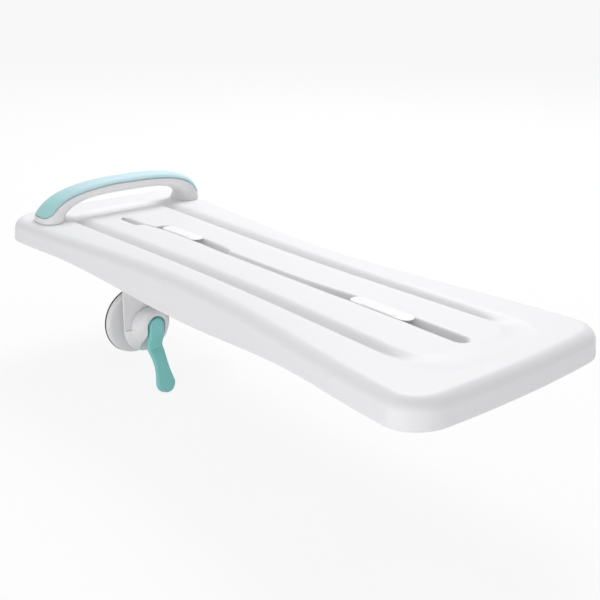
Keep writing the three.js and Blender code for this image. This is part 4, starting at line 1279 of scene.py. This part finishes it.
# %% Stop leg and buffer
STOP_Z = -46.0
LEG_RADIUS = 28
LEG_X = (14, 23)
LEG_EDGE = 2.6
STOP_BAR = {"x0": -33, "x1": 33, "half": 30, "radius": 6}
STOP_BAR_BOTTOM = -6
STOP_BAR_EDGE = 0.8
BUFFER = ((0, 23.3), (25.6, 23.3), (26.5, 24.2), (26.3, 26.4), (25.2, 27.8), (23.0, 28.3),
          (0, 28.3))

stop_bar = block(long_hole(**STOP_BAR), STOP_BAR_BOTTOM, BAR_TOP, STOP_BAR_EDGE, STOP_BAR_EDGE)
leg = plate_block(tombstone_line(LEG_RADIUS, STOP_Z, 0), *LEG_X, LEG_EDGE)
piece("stop_leg_moulding", moved(together(stop_bar, leg), RIGHT_X, 0),
      finish["bracket moulding"], "right_slider", "body", "stop_leg")
piece("stop_buffer_button", moved(turned(BUFFER, STOP_Z, 120), RIGHT_X, 0),
      finish["black pad rubber"], "right_slider", "rubber", "stop_buffer")

# %% [markdown]
# ## Small steel parts
#
# Screws, clips, springs and the lever's pin come from the frame as they are. They only
# need their finish.

# %% Steel for the carried-over parts
for name, part in frame["nodes"].items():
    if not part.hide_render:
        part.data.materials.clear()
        part.data.materials.append(finish["bright steel"])
        print("steel:", name)

# %% [markdown]
# ## Floor, light and camera
#
# The board is shown on plain white. The floor takes the object's soft shadow but is nearly
# white to the camera, and the world is white to it. The light comes mostly from above and
# behind, so that what faces the camera is a little greyer than the deck. Two low strips in
# front lift the skirt and the bracket a little.

# %% The floor and the world
FLOOR_HALF = 30.0
FLOOR_GAP = 0.002
FLOOR_GREY = (0.92, 0.92, 0.92, 1.0)
FLOOR_WHITE_SHARE = 0.88
WORLD_LIGHT = 0.51
WHITE = (1.0, 1.0, 1.0, 1.0)
LAMPS = (
    ("back softbox", (-1.0, 1.5, 2.2), (0.0, 0.0, 0.0), (1.4, 1.4), 49.5),
    ("front strip", (1.0, -1.35, -0.07), (-0.05, 0.0, -0.06), (3.2, 0.14), 7.5),
    ("side strip", (0.22, -0.85, -0.08), (-0.12, 0.0, -0.07), (0.5, 0.14), 0.8),
)


def white_floor():
    """A very large plane just below the object, nearly white to the camera."""
    z = min(corner[2] for corner in frame_box) - FLOOR_GAP
    square = ((-1, -1), (1, -1), (1, 1), (-1, 1))
    corners = [(x * FLOOR_HALF, y * FLOOR_HALF, z) for x, y in square]
    mesh = bpy.data.meshes.new("floor")
    mesh.from_pydata(corners, [], [(0, 1, 2, 3)])
    floor = add_object("floor", mesh)
    material = bpy.data.materials.new("white floor")
    material.use_nodes = True
    tree = material.node_tree
    tree.nodes.remove(tree.nodes["Principled BSDF"])
    matt = node(tree, "BsdfDiffuse", {"Color": FLOOR_GREY})
    lit = node(tree, "Emission", {"Color": WHITE, "Strength": 1.0})
    path = node(tree, "LightPath")
    share = node(tree, "Math", {0: path.outputs["Is Camera Ray"],
                 1: FLOOR_WHITE_SHARE}, operation="MULTIPLY")
    seen = node(tree, "MixShader", {0: share.outputs[0], 1: matt.outputs[0],
                2: lit.outputs[0]})
    feed(tree, tree.nodes["Material Output"], {"Surface": seen.outputs[0]})
    mesh.materials.append(material)
    floor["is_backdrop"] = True


def white_world():
    """Soft light from all round, and pure white where the camera or a reflection sees it."""
    world = bpy.data.worlds.new("studio")
    bpy.context.scene.world = world
    world.use_nodes = True
    tree = world.node_tree
    path = node(tree, "LightPath")
    seen = node(tree, "Math", {0: path.outputs["Is Camera Ray"],
                1: path.outputs["Is Glossy Ray"]}, operation="MAXIMUM")
    level = node(tree, "Math", {0: seen.outputs[0], 1: 1.0 - WORLD_LIGHT, 2: WORLD_LIGHT},
                 operation="MULTIPLY_ADD")
    feed(tree, tree.nodes["Background"], {"Color": WHITE, "Strength": level.outputs[0]})


def soft_lamp(name, place, aim, size, power):
    """A rectangular area lamp that points at a place and isn't seen itself."""
    data = bpy.data.lights.new(name, "AREA")
    data.shape = "RECTANGLE"
    data.size, data.size_y = size
    data.energy = power
    lamp = add_object(name, data)
    lamp.visible_camera = False
    lamp.location = place
    lamp.rotation_euler = (Vector(aim) - Vector(place)).to_track_quat("-Z", "Y").to_euler()


white_floor()
white_world()
for lamp in LAMPS:
    soft_lamp(*lamp)
print("lamps:", [lamp[0] for lamp in LAMPS])

# %% [markdown]
# The camera stands where the photographer stood. Its place and its three directions were
# worked out from the outline of the board, and the shift puts the middle of the lens where
# it was in the picture.

# %% The camera
CAMERA_PLACE = (0.77640, -0.62726, 0.34663)
CAMERA_RIGHT = Vector((0.64412, 0.76485, 0.01070))
CAMERA_UP = Vector((-0.25701, 0.20322, 0.94480))
CAMERA_BACK = Vector((0.72046, -0.61131, 0.32748))
PICTURE = 600
FOCAL = 925.32
LENS_MIDDLE = (276.38, 284.99)

lens = bpy.data.cameras.new("camera")
lens.sensor_width = 36
lens.lens = FOCAL / PICTURE * lens.sensor_width
lens.shift_x = (PICTURE / 2 - LENS_MIDDLE[0]) / PICTURE
lens.shift_y = (LENS_MIDDLE[1] - PICTURE / 2) / PICTURE
lens.clip_start = 0.01
camera = add_object("camera", lens)
turned_to = Matrix((CAMERA_RIGHT, CAMERA_UP, CAMERA_BACK)).transposed()
camera.matrix_world = Matrix.Translation(CAMERA_PLACE) @ turned_to.to_4x4()
bpy.context.scene.camera = camera
bpy.context.scene.view_settings.view_transform = "Standard"
print("camera:", round(lens.lens, 2), "mm lens")

# %% The size of the dressed model, beside the frame's
visual_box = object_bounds()
sizes = {"cad": [list(c) for c in frame_box], "visual": [list(c) for c in visual_box]}
print(sizes)
